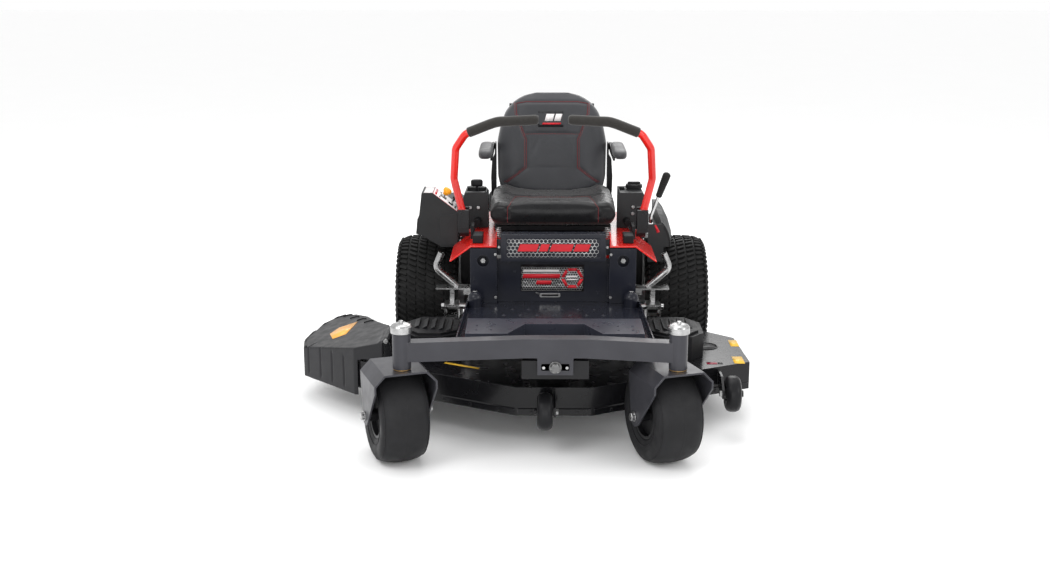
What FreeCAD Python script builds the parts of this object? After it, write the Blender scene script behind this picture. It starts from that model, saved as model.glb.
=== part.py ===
import FreeCAD, Part
import math
import os

# Zero-turn riding lawn mower, millimetres, +Z up, the operator faces -Y.
# Everything is drawn about the rear axle's middle at ground level, and the
# whole machine is moved at the end so that the middle of its footprint is
# the origin.
V = FreeCAD.Vector

# ------------------------------------------------------------- driving sizes
REAR_TYRE_R = 254.0
REAR_TYRE_W = 254.0
REAR_RIM_R = 101.6
REAR_WHEEL_X = 505.0            # centre plane of a rear wheel
REAR_HUB_X = 440.0              # face that the rear rim bolts to
CASTER_PIVOT_Y = -1309.0
CASTER_PIVOT_X = {"left": 396.0, "right": -497.0}
CASTER_TRAIL = 100.0
CASTER_REST_TURN = 20.0         # degrees, how far the casters have swung
CASTER_TYRE_R = 165.0
CASTER_TYRE_W = 165.0
CASTER_RIM_R = 76.0
FORK_WIDTH = 210.0
FORK_PLATE = 6.0
FORK_TOP = 345.0
SPINDLE_R = 12.5
RUNNING = 0.05                  # radial clearance of every shaft in its bore
GAP = 0.3                       # clearance between bodies that only pass by
AXLE_BEAM_Z = (375.0, 440.0)
AXLE_BEAM_Y = -1259.0
AXLE_BEAM_DEPTH = 50.0
AXLE_PIVOT_Z = 345.0
CASTER_TUBE_R = 30.0
CASTER_TUBE_Z = (350.0, 482.0)
FRONT_RAIL_X = 85.0
REAR_RAIL_X = 250.0
RAIL_WIDTH = 50.0
RAIL_WALL = 4.0
FRONT_RAIL_Z = (300.0, 375.0)
REAR_RAIL_Z = (300.0, 360.0)
TOWER_Y = -600.0                # front face of the tower under the seat
REAR_END_Y = 440.0
GUARD_END_Y = 484.0
DECK_TOP = 216.0
DECK_LIP = 115.0
DECK_WALL = 4.0
SIDE_SPINDLE = (451.0, -661.0)
CENTRE_SPINDLE = (0.0, -851.0)
BLADE_LENGTH = 470.0
BLADE_Z = (121.0, 127.0)
BELT_Z = 245.0
SPINDLE_PULLEY_R = 68.0
CRANK_XY = (0.0, 300.0)
CRANK_PULLEY_R = 60.0
DECK_WHEEL_R = 63.5
DECK_WHEEL_W = 52.0
DECK_WHEEL_AXLE_Z = 155.5
CHUTE_HINGE_XZ = (-600.0, 304.0)
CHUTE_LIP = 88.0
LIFT_SHAFT_YZ = (-440.0, 325.0)
LIFT_ARM = 130.0
LIFT_ARM_DROP = 5.0             # degrees below level with the deck at the top
LAP_PIVOT_YZ = (-440.0, 620.0)
LAP_SWING_XZ = (345.0, 694.0)
LAP_TUBE_R = 14.3
LAP_GRIP_R = 19.0
SEAT_HINGE_YZ = (-430.0, 603.0)
ARMREST_PIVOT_YZ = (15.0, 880.0)
LEVER_PIVOT_YZ = (-250.0, 600.0)
LEVER_X = 388.0
FUEL_CAP_XY = (324.0, -180.0)
CONSOLE_Y = (-270.0, -112.0)
POD_SLOPE = ((-465.0, 747.0), (-367.0, 671.0))   # top and foot of the control face
POD_Y = (-330.0, -185.0)


# ------------------------------------------------------------ shape helpers
def box(low, high):
    size = [high[i] - low[i] for i in range(3)]
    return Part.makeBox(size[0], size[1], size[2], V(*low))


def rod(radius, start, end):
    run = V(*end) - V(*start)
    return Part.makeCylinder(radius, run.Length, V(*start), run)


def pipe(outer, inner, start, end):
    return rod(outer, start, end).cut(rod(inner, start, end))


def lifted(points, axis, offset):
    """Put 2-D points into the plane across an axis, at an offset along it."""
    if axis == "X":
        return [V(offset, a, b) for a, b in points]
    if axis == "Y":
        return [V(a, offset, b) for a, b in points]
    return [V(a, b, offset) for a, b in points]


def prism(points, axis, low, high):
    corners = lifted(points, axis, low)
    wire = Part.makePolygon(corners + [corners[0]])
    along = {"X": V(1, 0, 0), "Y": V(0, 1, 0), "Z": V(0, 0, 1)}[axis]
    return Part.Face(wire).extrude(along * (high - low))


def shrunk(points, wall):
    """Offset a 2-D outline inwards by a wall thickness."""
    face = Part.Face(Part.makePolygon(lifted(points, "Z", 0.0) + lifted(points[:1], "Z", 0.0)))
    inner = face.makeOffset2D(-wall, 2, False, False, True)
    ordered = inner.OuterWire.OrderedVertexes
    return [(v.X, v.Y) for v in ordered]


def shell_prism(points, axis, low, high, wall, open_low=False, open_high=False):
    inner_low = low - 1.0 if open_low else low + wall
    inner_high = high + 1.0 if open_high else high - wall
    hollow = prism(shrunk(points, wall), axis, inner_low, inner_high)
    return prism(points, axis, low, high).cut(hollow)


def lofted(first, second, axis, low, high):
    """A solid that blends one 2-D outline into another with as many corners."""
    wires = []
    for points, offset in ((first, low), (second, high)):
        corners = lifted(points, axis, offset)
        wires.append(Part.makePolygon(corners + corners[:1]))
    return Part.makeLoft(wires, True, True)


def fuse(parts):
    whole = parts[0]
    for part in parts[1:]:
        whole = whole.fuse(part)
    return whole.removeSplitter()


def group(parts):
    return Part.makeCompound(parts)


def cut(base, tools):
    for tool in tools:
        base = base.cut(tool)
    return base


def rounded(shape, radius, chosen=None):
    edges = [e for e in shape.Edges if chosen is None or chosen(e)]
    return shape.makeFillet(radius, edges)


def along_axis(name):
    """Pick the straight edges that run along one axis."""
    way = {"X": V(1, 0, 0), "Y": V(0, 1, 0), "Z": V(0, 0, 1)}[name]

    def chosen(edge):
        if len(edge.Vertexes) < 2:
            return False
        run = edge.Vertexes[-1].Point - edge.Vertexes[0].Point
        return run.Length > 0.01 and abs(abs(run.normalize().dot(way)) - 1.0) < 1e-4
    return chosen


def mirrored(shape):
    return shape.mirror(V(0, 0, 0), V(1, 0, 0))


def both_sides(shape):
    return [shape, mirrored(shape)]


def bent_path(points, bend):
    """Straight runs joined by tangent arcs of one bend radius."""
    pts = [V(*p) for p in points]
    edges = []
    start = pts[0]
    for before, corner, after in zip(pts, pts[1:], pts[2:]):
        back = (before - corner).normalize()
        ahead = (after - corner).normalize()
        half = back.getAngle(ahead) / 2.0
        reach = bend / math.tan(half)
        enter = corner + back * reach
        leave = corner + ahead * reach
        inward = (back + ahead).normalize()
        middle = corner + inward * (bend / math.sin(half) - bend)
        edges.append(Part.LineSegment(start, enter).toShape())
        edges.append(Part.Arc(enter, middle, leave).toShape())
        start = leave
    edges.append(Part.LineSegment(start, pts[-1]).toShape())
    return Part.Wire(edges)


def bent_bar(points, bend, radius):
    path = bent_path(points, bend)
    way = V(*points[1]) - V(*points[0])
    circle = Part.Wire(Part.makeCircle(radius, V(*points[0]), way))
    return path.makePipeShell([circle], True, False)


def bent_hose(points, bend, radius, bore):
    return bent_bar(points, bend, radius).cut(bent_bar(points, bend, bore))


def lathe(profile, start, axis):
    """Turn a profile of (radius, distance along the axis) points."""
    wire = Part.makePolygon([V(r, 0, h) for r, h in profile + profile[:1]])
    solid = Part.Face(wire).revolve(V(0, 0, 0), V(0, 0, 1), 360)
    turn = FreeCAD.Rotation(V(0, 0, 1), V(*axis))
    solid.Placement = FreeCAD.Placement(V(*start), turn)
    return solid


def hex_head(across, height, start, axis):
    corner = across / math.sqrt(3.0)
    points = []
    for k in range(6):
        angle = math.radians(60 * k)
        points.append((corner * math.cos(angle), corner * math.sin(angle)))
    head = prism(points, "Z", 0.0, height)
    head.Placement = FreeCAD.Placement(V(*start), FreeCAD.Rotation(V(0, 0, 1), V(*axis)))
    return head


def turned(shape, degrees, centre, axis=(0, 0, 1)):
    moved = shape.copy()
    moved.rotate(V(*centre), V(*axis), degrees)
    return moved


def square_tube(low, high, wall, axis):
    """A rectangular tube, open at both ends of its axis."""
    inner_low = [v + wall for v in low]
    inner_high = [v - wall for v in high]
    k = "XYZ".index(axis)
    inner_low[k] = low[k] - 1.0
    inner_high[k] = high[k] + 1.0
    return box(low, high).cut(box(inner_low, inner_high))


# ------------------------------------------------------------------ chassis
def main_frame():
    half = RAIL_WIDTH / 2.0
    parts = []
    low, high = FRONT_RAIL_Z
    nose_back = -1228.0
    for side in (-1, 1):
        x = side * FRONT_RAIL_X
        parts.append(square_tube([x - half, nose_back, low], [x + half, TOWER_Y, high], RAIL_WALL, "Y"))
        x = side * REAR_RAIL_X
        parts.append(square_tube([x - half, TOWER_Y + 60, REAR_RAIL_Z[0]],
                                 [x + half, REAR_END_Y, REAR_RAIL_Z[1]], RAIL_WALL, "Y"))
    parts.append(square_tube([-110, nose_back - 40, low], [110, nose_back, 362], RAIL_WALL, "X"))
    parts.append(square_tube([-280, TOWER_Y, low], [280, TOWER_Y + 60, high], RAIL_WALL, "X"))
    rear_x = REAR_RAIL_X - half
    parts.append(square_tube([-rear_x, REAR_END_Y - 50, REAR_RAIL_Z[0]],
                             [rear_x, REAR_END_Y, REAR_RAIL_Z[1]], RAIL_WALL, "X"))
    engine_plate = box([-275, 185, 360], [275, 395, 366])
    hitch_plate = box([-50, REAR_END_Y - 46, 294], [50, GUARD_END_Y - 4, 300])
    wheel_guard = prism([(275, 300), (366, 300), (372, 345), (372, 520), (335, 556), (275, 556)], "Y", -100, -94)
    frame = fuse(parts + both_sides(wheel_guard) + [engine_plate, hitch_plate])
    accessory_holes = [rod(5.5, (x, REAR_END_Y - 8, z), (x, REAR_END_Y + 5, z))
                       for x in (-150, 150) for z in (315, 345)]
    bores = accessory_holes + [
        rod(10.0, (0, nose_back - 50, AXLE_PIVOT_Z), (0, nose_back + 10, AXLE_PIVOT_Z)),
        rod(34.0, (CRANK_XY[0], CRANK_XY[1], 350), (CRANK_XY[0], CRANK_XY[1], 370)),
        rod(8.0, (0, REAR_END_Y + 20, 290), (0, REAR_END_Y + 20, 305)),
        rod(SPINDLE_R + RUNNING, (-300, LIFT_SHAFT_YZ[0], LIFT_SHAFT_YZ[1]),
            (300, LIFT_SHAFT_YZ[0], LIFT_SHAFT_YZ[1])),
    ]
    return cut(frame, bores)


def foot_pan():
    floor = prism([(-335, -1228), (335, -1228), (317, -574), (-317, -574)], "Z", 375.2, 379.2)
    lip = prism([(331, -1228), (335, -1228), (318, -606), (314, -606)], "Z", 375.2, 402)
    hump = rod(28, (288, -650, 379), (288, -650, 410))
    hump = fuse([hump, Part.makeSphere(28, V(288, -650, 410))])
    hump_hollow = rod(24, (288, -650, 370), (288, -650, 410))
    pan = fuse([floor] + both_sides(lip) + both_sides(hump))
    pan = cut(pan, both_sides(hump_hollow))
    studs = []
    for row in range(4):
        y = -930 + 80 * row
        for column in range(7):
            x = -180 + 60 * column + (30 if row % 2 else 0)
            if abs(x) < 200:
                studs.append(Part.makeSphere(9, V(x, y, 374.5)).common(box([x - 9, y - 9, 377], [x + 9, y + 9, 385])))
    return fuse([pan] + studs)


def step_outline(grow):
    front = -1150.0 - grow
    return [(-300 - grow, front), (-160 + grow, front), (-102 + grow, -1030 - grow), (102 - grow, -1030 - grow),
            (160 - grow, front), (300 + grow, front), (300 + grow, -960 + grow), (-300 - grow, -960 + grow)]


def step_plate():
    skirt = shell_prism(step_outline(0.0), "Z", 379.4, 420.0, 4.0, open_low=True)
    dimples = []
    for x in (-265, -215, 215, 265):
        for y in (-1105, -1055):
            dimples.append(rod(5, (x, y, 410), (x, y, 425)))
    return cut(skirt, dimples)


def front_panel():
    column = shell_prism([(209, TOWER_Y), (308, TOWER_Y), (308, TOWER_Y + 8), (300, TOWER_Y + 60),
                          (290, TOWER_Y + 60), (290, TOWER_Y + 30), (209, TOWER_Y + 30)],
                         "Z", 379.4, 588.0, 4.0, open_low=True, open_high=True)
    dish = lathe([(0, 0), (22, 0), (26, -7), (0, -7)], (260, TOWER_Y, 541), (0, -1, 0))
    bore = rod(22, (260, TOWER_Y - 5, 541), (260, TOWER_Y + 5, 541))
    column = column.cut(dish).cut(bore)
    recess = box([-213, TOWER_Y + 24, 379.4], [213, TOWER_Y + 28, 545.0])
    return fuse(both_sides(column) + [recess])


def badge_panel():
    tray = box([-193, TOWER_Y - 30, 546], [193, TOWER_Y + 20, 648])
    hollow = box([-189, TOWER_Y - 26, 541], [189, TOWER_Y + 30, 644])
    window = box([-172, TOWER_Y - 40, 560], [172, TOWER_Y - 20, 632])
    mesh = box([-176, TOWER_Y - 27, 556], [176, TOWER_Y - 22, 636])
    ears = box([-209, TOWER_Y + 16, 560], [209, TOWER_Y + 20, 620])
    return fuse([cut(tray, [hollow, window]), mesh, ears])


def upper_frame():
    y_front, y_back = TOWER_Y, -335.0
    top = box([209, y_front, 592], [308, y_back, 598])
    slope = prism([(304, 598), (308, 598), (385, 540), (381, 537), (304, 593)], "Y", y_front, y_back)
    rib = box([209, y_front, 598], [213, -548, 640])
    rear_plate = box([209, y_back, 592], [300, 60, 598])
    post = square_tube([225, TOWER_Y + 31, 375], [275, TOWER_Y + 60, 592], RAIL_WALL, "Z")
    rear_post = square_tube([225, -60, 360], [275, -10, 592], RAIL_WALL, "Z")
    cheek = box([300, -475, 598], [308, -405, 645])
    lap_pin = rod(8, (304, LAP_PIVOT_YZ[0], LAP_PIVOT_YZ[1]), (353, LAP_PIVOT_YZ[0], LAP_PIVOT_YZ[1]))
    hinge_y, hinge_z = SEAT_HINGE_YZ
    hinge_ear = fuse([box([153, hinge_y - 11, 586], [163, hinge_y + 11, hinge_z]),
                      rod(11, (153, hinge_y, hinge_z), (163, hinge_y, hinge_z))])
    side = fuse([top, slope, rib, rear_plate, post, rear_post, cheek, lap_pin])
    cross = box([-209, -445, 560], [209, -415, 590])
    rear_cross = box([-209, 0, 566], [209, 30, hinge_z - 3 - GAP])
    gusset = box([205, -445, 560], [213, -415, 598])
    rear_gusset = box([205, 0, 560], [213, 30, 598])
    pin = rod(6, (-170, hinge_y, hinge_z), (170, hinge_y, hinge_z))
    return fuse(both_sides(side) + both_sides(gusset) + both_sides(rear_gusset)
                + both_sides(hinge_ear) + [cross, rear_cross, pin])


def knob_place():
    """Where the knob's stem leaves the pod's sloping face, and that face's normal."""
    (x0, z0), (x1, z1) = POD_SLOPE
    length = math.hypot(x1 - x0, z1 - z0)
    normal = V((z0 - z1) / length, 0, (x1 - x0) / length)
    return V(x0 + 0.37 * (x1 - x0), -255, z0 + 0.37 * (z1 - z0)), normal


def console(outline, plan):
    """A closed hollow box with one outline seen from the front and one from above."""
    front, back = CONSOLE_Y
    outer = prism(outline, "Y", front, back).common(prism(plan, "Z", 500, 800))
    inner = prism(shrunk(outline, 4.0), "Y", front, back).common(prism(shrunk(plan, 4.0), "Z", 500, 800))
    return outer.cut(inner)


def fender_right():
    tall = [(-507, 747), (-527, 585), (-500, 575), (-433, 534), (-367, 534), POD_SLOPE[1], POD_SLOPE[0]]
    short = [(-514, 655), (-527, 585), (-500, 575), (-433, 534), (-367, 534), (-367, 640), (-385, 655)]
    front, middle, back = POD_Y[0], POD_Y[1], 190.0
    pod = prism(tall, "Y", front, middle).fuse(prism(short, "Y", middle, back))
    tall_hollow = prism(shrunk(tall, 4.0), "Y", front + 4, middle - 4)
    short_hollow = prism(shrunk(short, 4.0), "Y", middle - 8, back + 1)
    pod = cut(pod, [tall_hollow, short_hollow])
    box_right = console([(-369, 562), (-304, 562), (-304, 599), (-252, 599), (-252, 726), (-264, 738), (-340, 738),
                         (-369, 668)],
                        [(-369, CONSOLE_Y[0]), (-252, CONSOLE_Y[0]), (-252, -150), (-282, CONSOLE_Y[1]),
                         (-330, CONSOLE_Y[1]), (-369, -150)])
    well_walls = box([-340, -244, 686], [-258, -146, 736])
    well = box([-336, -240, 690], [-262, -150, 745])
    whole = fuse([pod, box_right, well_walls])
    place, normal = knob_place()
    knob_bore = rod(5 + RUNNING, tuple(place - normal * 30), tuple(place + normal * 30))
    throttle_bore = rod(6 + RUNNING, (-347, -180, 708), (-254, -180, 708))
    return cut(whole, [well, throttle_bore, knob_bore])


def fender_left():
    box_left = console([(252, 599), (304, 599), (304, 562), (375, 562), (375, 706), (352, 738), (264, 738), (252, 726)],
                       [(252, CONSOLE_Y[0]), (364, CONSOLE_Y[0]), (354, CONSOLE_Y[1]), (262, CONSOLE_Y[1])])
    recess_walls = box([262, -222, 702], [292, -136, 736])
    recess = box([266, -218, 706], [288, -140, 745])
    cap_x, cap_y = FUEL_CAP_XY
    neck = rod(29, (cap_x, cap_y, 725), (cap_x, cap_y, 742))
    neck_bore = rod(24, (cap_x, cap_y, 715), (cap_x, cap_y, 750))
    shelf = box([350, -300, 562], [432, 190, 566])
    face = box([374, -303, 470], [436, -299, 620])
    slot = box([380, -296, 555], [398, -190, 575])
    nose = [(428, 528), (428, 622), (440, 608), (454, 580), (462, 545), (462, 528)]
    tail = [(428, 528), (428, 628), (450, 627), (472, 598), (488, 545), (490, 528)]
    dome = lofted(nose, tail, "Y", -296, -60).fuse(prism(tail, "Y", -60, 190))
    hollow = lofted(shrunk(nose, 4.0), shrunk(tail, 4.0), "Y", -292, -60)
    dome = cut(dome, [hollow, prism(shrunk(tail, 4.0), "Y", -61, 191)])
    lever_pin = rod(8, (358, LEVER_PIVOT_YZ[0], LEVER_PIVOT_YZ[1]), (402, LEVER_PIVOT_YZ[0], LEVER_PIVOT_YZ[1]))
    whole = fuse([box_left, recess_walls, neck, shelf, face, dome])
    return fuse([cut(whole, [recess, neck_bore, slot]), lever_pin])


def fender_supports():
    strut = bent_hose([(427, -400, 526), (452, -400, 468), (366, -400, 392)], 30, 13.5, 11)
    foot = box([340, -425, 386], [450, -360, 392])
    foot_leg = box([300.5, -425, 366], [344, -360, 392])
    bracket = box([275, -425, 362], [304, -360, 368])
    side = fuse([strut, foot, foot_leg, bracket])
    clevis = box([360, -478, 284], [416, -402, 340])
    clevis = clevis.cut(box([366, -500, 290], [410, -380, 334]))
    hanger = box([380, -425, 338], [396, -400, 388])
    shaft_bore = rod(SPINDLE_R + RUNNING, (340, LIFT_SHAFT_YZ[0], LIFT_SHAFT_YZ[1]),
                     (430, LIFT_SHAFT_YZ[0], LIFT_SHAFT_YZ[1]))
    side = fuse([side, clevis, hanger]).cut(shaft_bore)
    return group(both_sides(side))


def transaxles():
    housing = rounded(box([282, -70, 185], [360, 120, 330]), 18)
    nose = rod(38, (355, 0, REAR_TYRE_R), (392, 0, REAR_TYRE_R))
    flange = box([275, -40, 304], [300, 90, 356])
    bore = rod(16 + RUNNING, (300, 0, REAR_TYRE_R), (400, 0, REAR_TYRE_R))
    side = fuse([housing, nose, flange]).cut(bore)
    return group(both_sides(side))


# --------------------------------------------------------- engine and its kin
def engine_block():
    crankcase = rounded(box([-125, 215, 366], [125, 385, 520]), 12, along_axis("Z"))
    parts = [crankcase]
    for side in (-1, 1):
        for k in range(7):
            reach = 120 + 13 * k
            fin = box([reach, 235, 400], [reach + 6, 345, 515])
            parts.append(fin if side > 0 else mirrored(fin))
        core = box([120, 255, 420], [212, 325, 495])
        head = rounded(box([206, 238, 405], [232, 342, 512]), 8, along_axis("X"))
        parts += [core, head] if side > 0 else [mirrored(core), mirrored(head)]
    parts.append(rod(30, (CRANK_XY[0], CRANK_XY[1], 330), (CRANK_XY[0], CRANK_XY[1], 370)))
    bore = rod(SPINDLE_R + RUNNING, (CRANK_XY[0], CRANK_XY[1], 320), (CRANK_XY[0], CRANK_XY[1], 440))
    return fuse(parts).cut(bore)


def engine_shroud():
    housing = lathe([(0, 0), (146, 0), (146, 86), (134, 116), (112, 132), (0, 132)],
                    (0, 300, 520.3), (0, 0, 1))
    hollow = lathe([(0, -1), (142, -1), (142, 84), (131, 112), (111, 128), (0, 128)],
                   (0, 300, 520.3), (0, 0, 1))
    intake = rod(92, (0, 300, 640), (0, 300, 660))
    shell = cut(housing, [hollow, intake])
    bars = []
    for k in range(6):
        bar = box([-100, 297, 646], [100, 303, 650])
        bars.append(turned(bar, 30 * k, (0, 300, 0)))
    for radius in (30, 60, 88):
        bars.append(pipe(radius + 4, radius, (0, 300, 646), (0, 300, 650)))
    air_cleaner = rounded(box([-150, 162, 560], [150, 225, 640]), 16)
    return fuse([shell] + bars + [air_cleaner.cut(rod(142, (0, 300, 500), (0, 300, 645)))])


def muffler():
    body = rounded(box([-120, 388, 372], [120, 456, 436]), 24, along_axis("X"))
    outlet = pipe(16, 12, (90, 450, 404), (90, 478, 404))
    pipes = bent_bar([(-219, 342.2, 425), (-219, 424, 425), (-115, 424, 412)], 36, 12)
    return fuse([body, outlet, pipes, mirrored(pipes)])


def engine_guard():
    top_y = GUARD_END_Y - 16
    loop = bent_bar([(-259, 422, 360), (-259, 422, 560), (-259, top_y, 610),
                     (259, top_y, 610), (259, 422, 560), (259, 422, 360)], 30, 16)
    bar = rod(10, (-259, 422, 470), (259, 422, 470))
    return fuse([loop, bar])


def battery():
    case = rounded(box([-200, -250, 364], [-40, -120, 530]), 5)
    posts = [rod(8, (x, -185, 525), (x, -185, 541)) for x in (-175, -65)]
    tray = box([-244, -262, 360], [244, -108, 364])
    return group([fuse([case] + posts), tray])


def chassis_bolts():
    bolts = []
    front = -1300.0
    shank = rod(10, (0, front, AXLE_PIVOT_Z), (0, -1218, AXLE_PIVOT_Z))
    washer = rod(20, (0, -1288.5, AXLE_PIVOT_Z), (0, -1284.3, AXLE_PIVOT_Z))
    spacer = rod(20, (0, -1277.7, AXLE_PIVOT_Z), (0, -1268, AXLE_PIVOT_Z))
    bolts.append(fuse([shank, washer, spacer, hex_head(28, 12, (0, -1288, AXLE_PIVOT_Z), (0, -1, 0))]))
    for side in (-1, 1):
        pin = rod(5, (side * 38, -1292, AXLE_PIVOT_Z), (side * 38, -1268, AXLE_PIVOT_Z))
        bolts.append(pin)
        tower = rod(7, (side * 260, TOWER_Y + 8, 541), (side * 260, TOWER_Y + 25.8, 541))
        head = hex_head(17, 8, (side * 260, TOWER_Y + 8, 541), (0, -1, 0))
        bolts.append(fuse([tower, head]))
        for y in (220, 370):
            bolts.append(hex_head(19, 9, (side * 250, y, 366), (0, 0, 1)))
    return group(bolts)


# ------------------------------------------------- front axle beam and casters
def front_axle_beam():
    half = AXLE_BEAM_DEPTH / 2.0
    left, right = CASTER_PIVOT_X["left"], CASTER_PIVOT_X["right"]
    y, end_y = AXLE_BEAM_Y, CASTER_PIVOT_Y
    plan = [(right, end_y - half), (-102, y - half), (102, y - half), (left, end_y - half),
            (left, end_y + half), (102, y + half), (-102, y + half), (right, end_y + half)]
    low, high = AXLE_BEAM_Z
    beam = prism(plan, "Z", low, high)
    inner = prism(shrunk(plan, 4.0), "Z", low + 4, high - 4)
    bracket = box([-59, y - half, 318], [59, y - half + 6, low + 2])
    tubes = []
    bores = []
    for x in (left, right):
        tubes.append(rod(CASTER_TUBE_R, (x, end_y, CASTER_TUBE_Z[0]), (x, end_y, CASTER_TUBE_Z[1])))
        bores.append(rod(25, (x, end_y, CASTER_TUBE_Z[0] - 5), (x, end_y, CASTER_TUBE_Z[1] + 5)))
    whole = cut(fuse([beam, bracket] + tubes), bores)
    solid_beam = whole.cut(inner.cut(fuse(tubes)))
    pivot = rod(10 + RUNNING, (0, y - half - 5, AXLE_PIVOT_Z), (0, y - half + 10, AXLE_PIVOT_Z))
    slots = []
    for side in (-1, 1):
        arc = pipe(45, 31, (0, y - half - 5, AXLE_PIVOT_Z), (0, y - half + 10, AXLE_PIVOT_Z))
        wedge = prism([(side * 20, AXLE_PIVOT_Z - 5), (side * 50, AXLE_PIVOT_Z - 12),
                       (side * 50, AXLE_PIVOT_Z + 12), (side * 20, AXLE_PIVOT_Z + 5)],
                      "Y", y - half - 5, y - half + 10)
        slots.append(arc.common(wedge))
    return cut(solid_beam, [pivot] + slots)


def caster_bushings():
    bushings = []
    for x in CASTER_PIVOT_X.values():
        for base, way in ((CASTER_TUBE_Z[0], 1), (CASTER_TUBE_Z[1], -1)):
            sleeve = rod(25, (x, CASTER_PIVOT_Y, base), (x, CASTER_PIVOT_Y, base + way * 28))
            flange = rod(29, (x, CASTER_PIVOT_Y, base - way * 3), (x, CASTER_PIVOT_Y, base))
            bore = rod(SPINDLE_R + RUNNING, (x, CASTER_PIVOT_Y, base - 40), (x, CASTER_PIVOT_Y, base + 40))
            bushings.append(fuse([sleeve, flange]).cut(bore))
    return group(bushings)


def caster_caps():
    caps = []
    for x in CASTER_PIVOT_X.values():
        top = CASTER_TUBE_Z[1]
        profile = [(30.2, -12), (35, -12), (35, 8), (31, 14), (20, 18.5), (8, 20), (7, 27), (0, 28),
                   (0, 16), (28, 8), (30.2, 4)]
        caps.append(lathe(profile, (x, CASTER_PIVOT_Y, top), (0, 0, 1)))
    return group(caps)


def to_caster(shape, side):
    """Swing a caster drawn with its trail along +Y, and put it at its pivot."""
    placed = turned(shape, CASTER_REST_TURN, (0, 0, 0))
    placed.translate(V(CASTER_PIVOT_X[side], CASTER_PIVOT_Y, 0))
    return placed


def caster_fork(side):
    half = FORK_WIDTH / 2.0
    leg_side = [(-50, 345), (-50, 285), (75, 140), (100, 130), (125, 140), (150, 280), (150, 345)]
    arch = [(-half, 120), (-half, 310), (-half + 34, FORK_TOP), (half - 34, FORK_TOP), (half, 310), (half, 120)]
    inner_half = half - FORK_PLATE
    hollow = [(-inner_half, 110), (-inner_half, 307), (-inner_half + 31, FORK_TOP - FORK_PLATE),
              (inner_half - 31, FORK_TOP - FORK_PLATE), (inner_half, 307), (inner_half, 110)]
    shell = prism(arch, "Y", -50, 150).cut(prism(hollow, "Y", -60, 160))
    fork = shell.common(prism(leg_side, "X", -half, half))
    spindle_top = CASTER_TUBE_Z[1] + 7
    spindle = rod(SPINDLE_R, (0, 0, FORK_TOP - 4), (0, 0, spindle_top))
    axle_z = CASTER_TYRE_R
    bolt = rod(8, (-half - 14, CASTER_TRAIL, axle_z), (half + 18, CASTER_TRAIL, axle_z))
    head = hex_head(24, 10, (-half, CASTER_TRAIL, axle_z), (-1, 0, 0))
    nut = hex_head(24, 12, (half, CASTER_TRAIL, axle_z), (1, 0, 0))
    return to_caster(fuse([fork, spindle, bolt, head, nut]), side)


def tyre_profile(radius, width, rim, crown):
    """Half-closed tyre section in (radius, distance) points, a solid ring."""
    half = width / 2.0
    return [(rim, -half * 0.72), (rim + 8, -half * 0.86), (radius * 0.62 + rim * 0.2, -half),
            (radius - crown * 1.4, -half * 0.97), (radius - crown * 0.45, -half * 0.84),
            (radius - crown * 0.1, -half * 0.6), (radius, -half * 0.25), (radius, half * 0.25),
            (radius - crown * 0.1, half * 0.6), (radius - crown * 0.45, half * 0.84),
            (radius - crown * 1.4, half * 0.97), (radius * 0.62 + rim * 0.2, half),
            (rim + 8, half * 0.86), (rim, half * 0.72)]


def tyre_carcass(radius, width, rim, crown, wall, centre):
    """The tyre's rubber: its outer form less the air space, open at the rim."""
    outer = lathe(tyre_profile(radius, width, rim, crown), centre, (1, 0, 0))
    half = width / 2.0 - wall
    air = [(rim - 1, -half * 0.62), (rim + 12, -half * 0.86), (radius * 0.62 + rim * 0.2, -half),
           (radius - wall - crown, -half * 0.9), (radius - wall, -half * 0.4), (radius - wall, half * 0.4),
           (radius - wall - crown, half * 0.9), (radius * 0.62 + rim * 0.2, half), (rim + 12, half * 0.86),
           (rim - 1, half * 0.62)]
    return outer.cut(lathe(air, centre, (1, 0, 0)))


def caster_tyre(side):
    centre = (0, CASTER_TRAIL, CASTER_TYRE_R)
    return to_caster(tyre_carcass(CASTER_TYRE_R, CASTER_TYRE_W, CASTER_RIM_R, 30.0, 12.0, centre), side)


def caster_rim(side):
    centre = (0, CASTER_TRAIL, CASTER_TYRE_R)
    barrel = [(CASTER_RIM_R - 6, -72), (CASTER_RIM_R + 4, -72), (CASTER_RIM_R + 4, -66), (CASTER_RIM_R, -60),
              (CASTER_RIM_R, 60), (CASTER_RIM_R + 4, 66), (CASTER_RIM_R + 4, 72), (CASTER_RIM_R - 6, 72)]
    dish = [(20, -54), (CASTER_RIM_R - 4, -54), (CASTER_RIM_R - 4, -48), (20, -48)]
    hub = [(8 + RUNNING, -98), (20, -98), (20, 98), (8 + RUNNING, 98)]
    back_dish = [(20, 48), (CASTER_RIM_R - 4, 48), (CASTER_RIM_R - 4, 54), (20, 54)]
    turned_parts = [lathe(p, centre, (1, 0, 0)) for p in (barrel, dish, back_dish, hub)]
    wheel = fuse(turned_parts)
    tyre = lathe(tyre_profile(CASTER_TYRE_R, CASTER_TYRE_W, CASTER_RIM_R, 30.0), centre, (1, 0, 0))
    return to_caster(wheel.cut(tyre), side)


# -------------------------------------------------------------- rear wheels
def rear_tyre(side):
    centre = (side * REAR_WHEEL_X, 0, REAR_TYRE_R)
    return tyre_carcass(REAR_TYRE_R, REAR_TYRE_W, REAR_RIM_R, 22.0, 16.0, centre)


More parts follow.
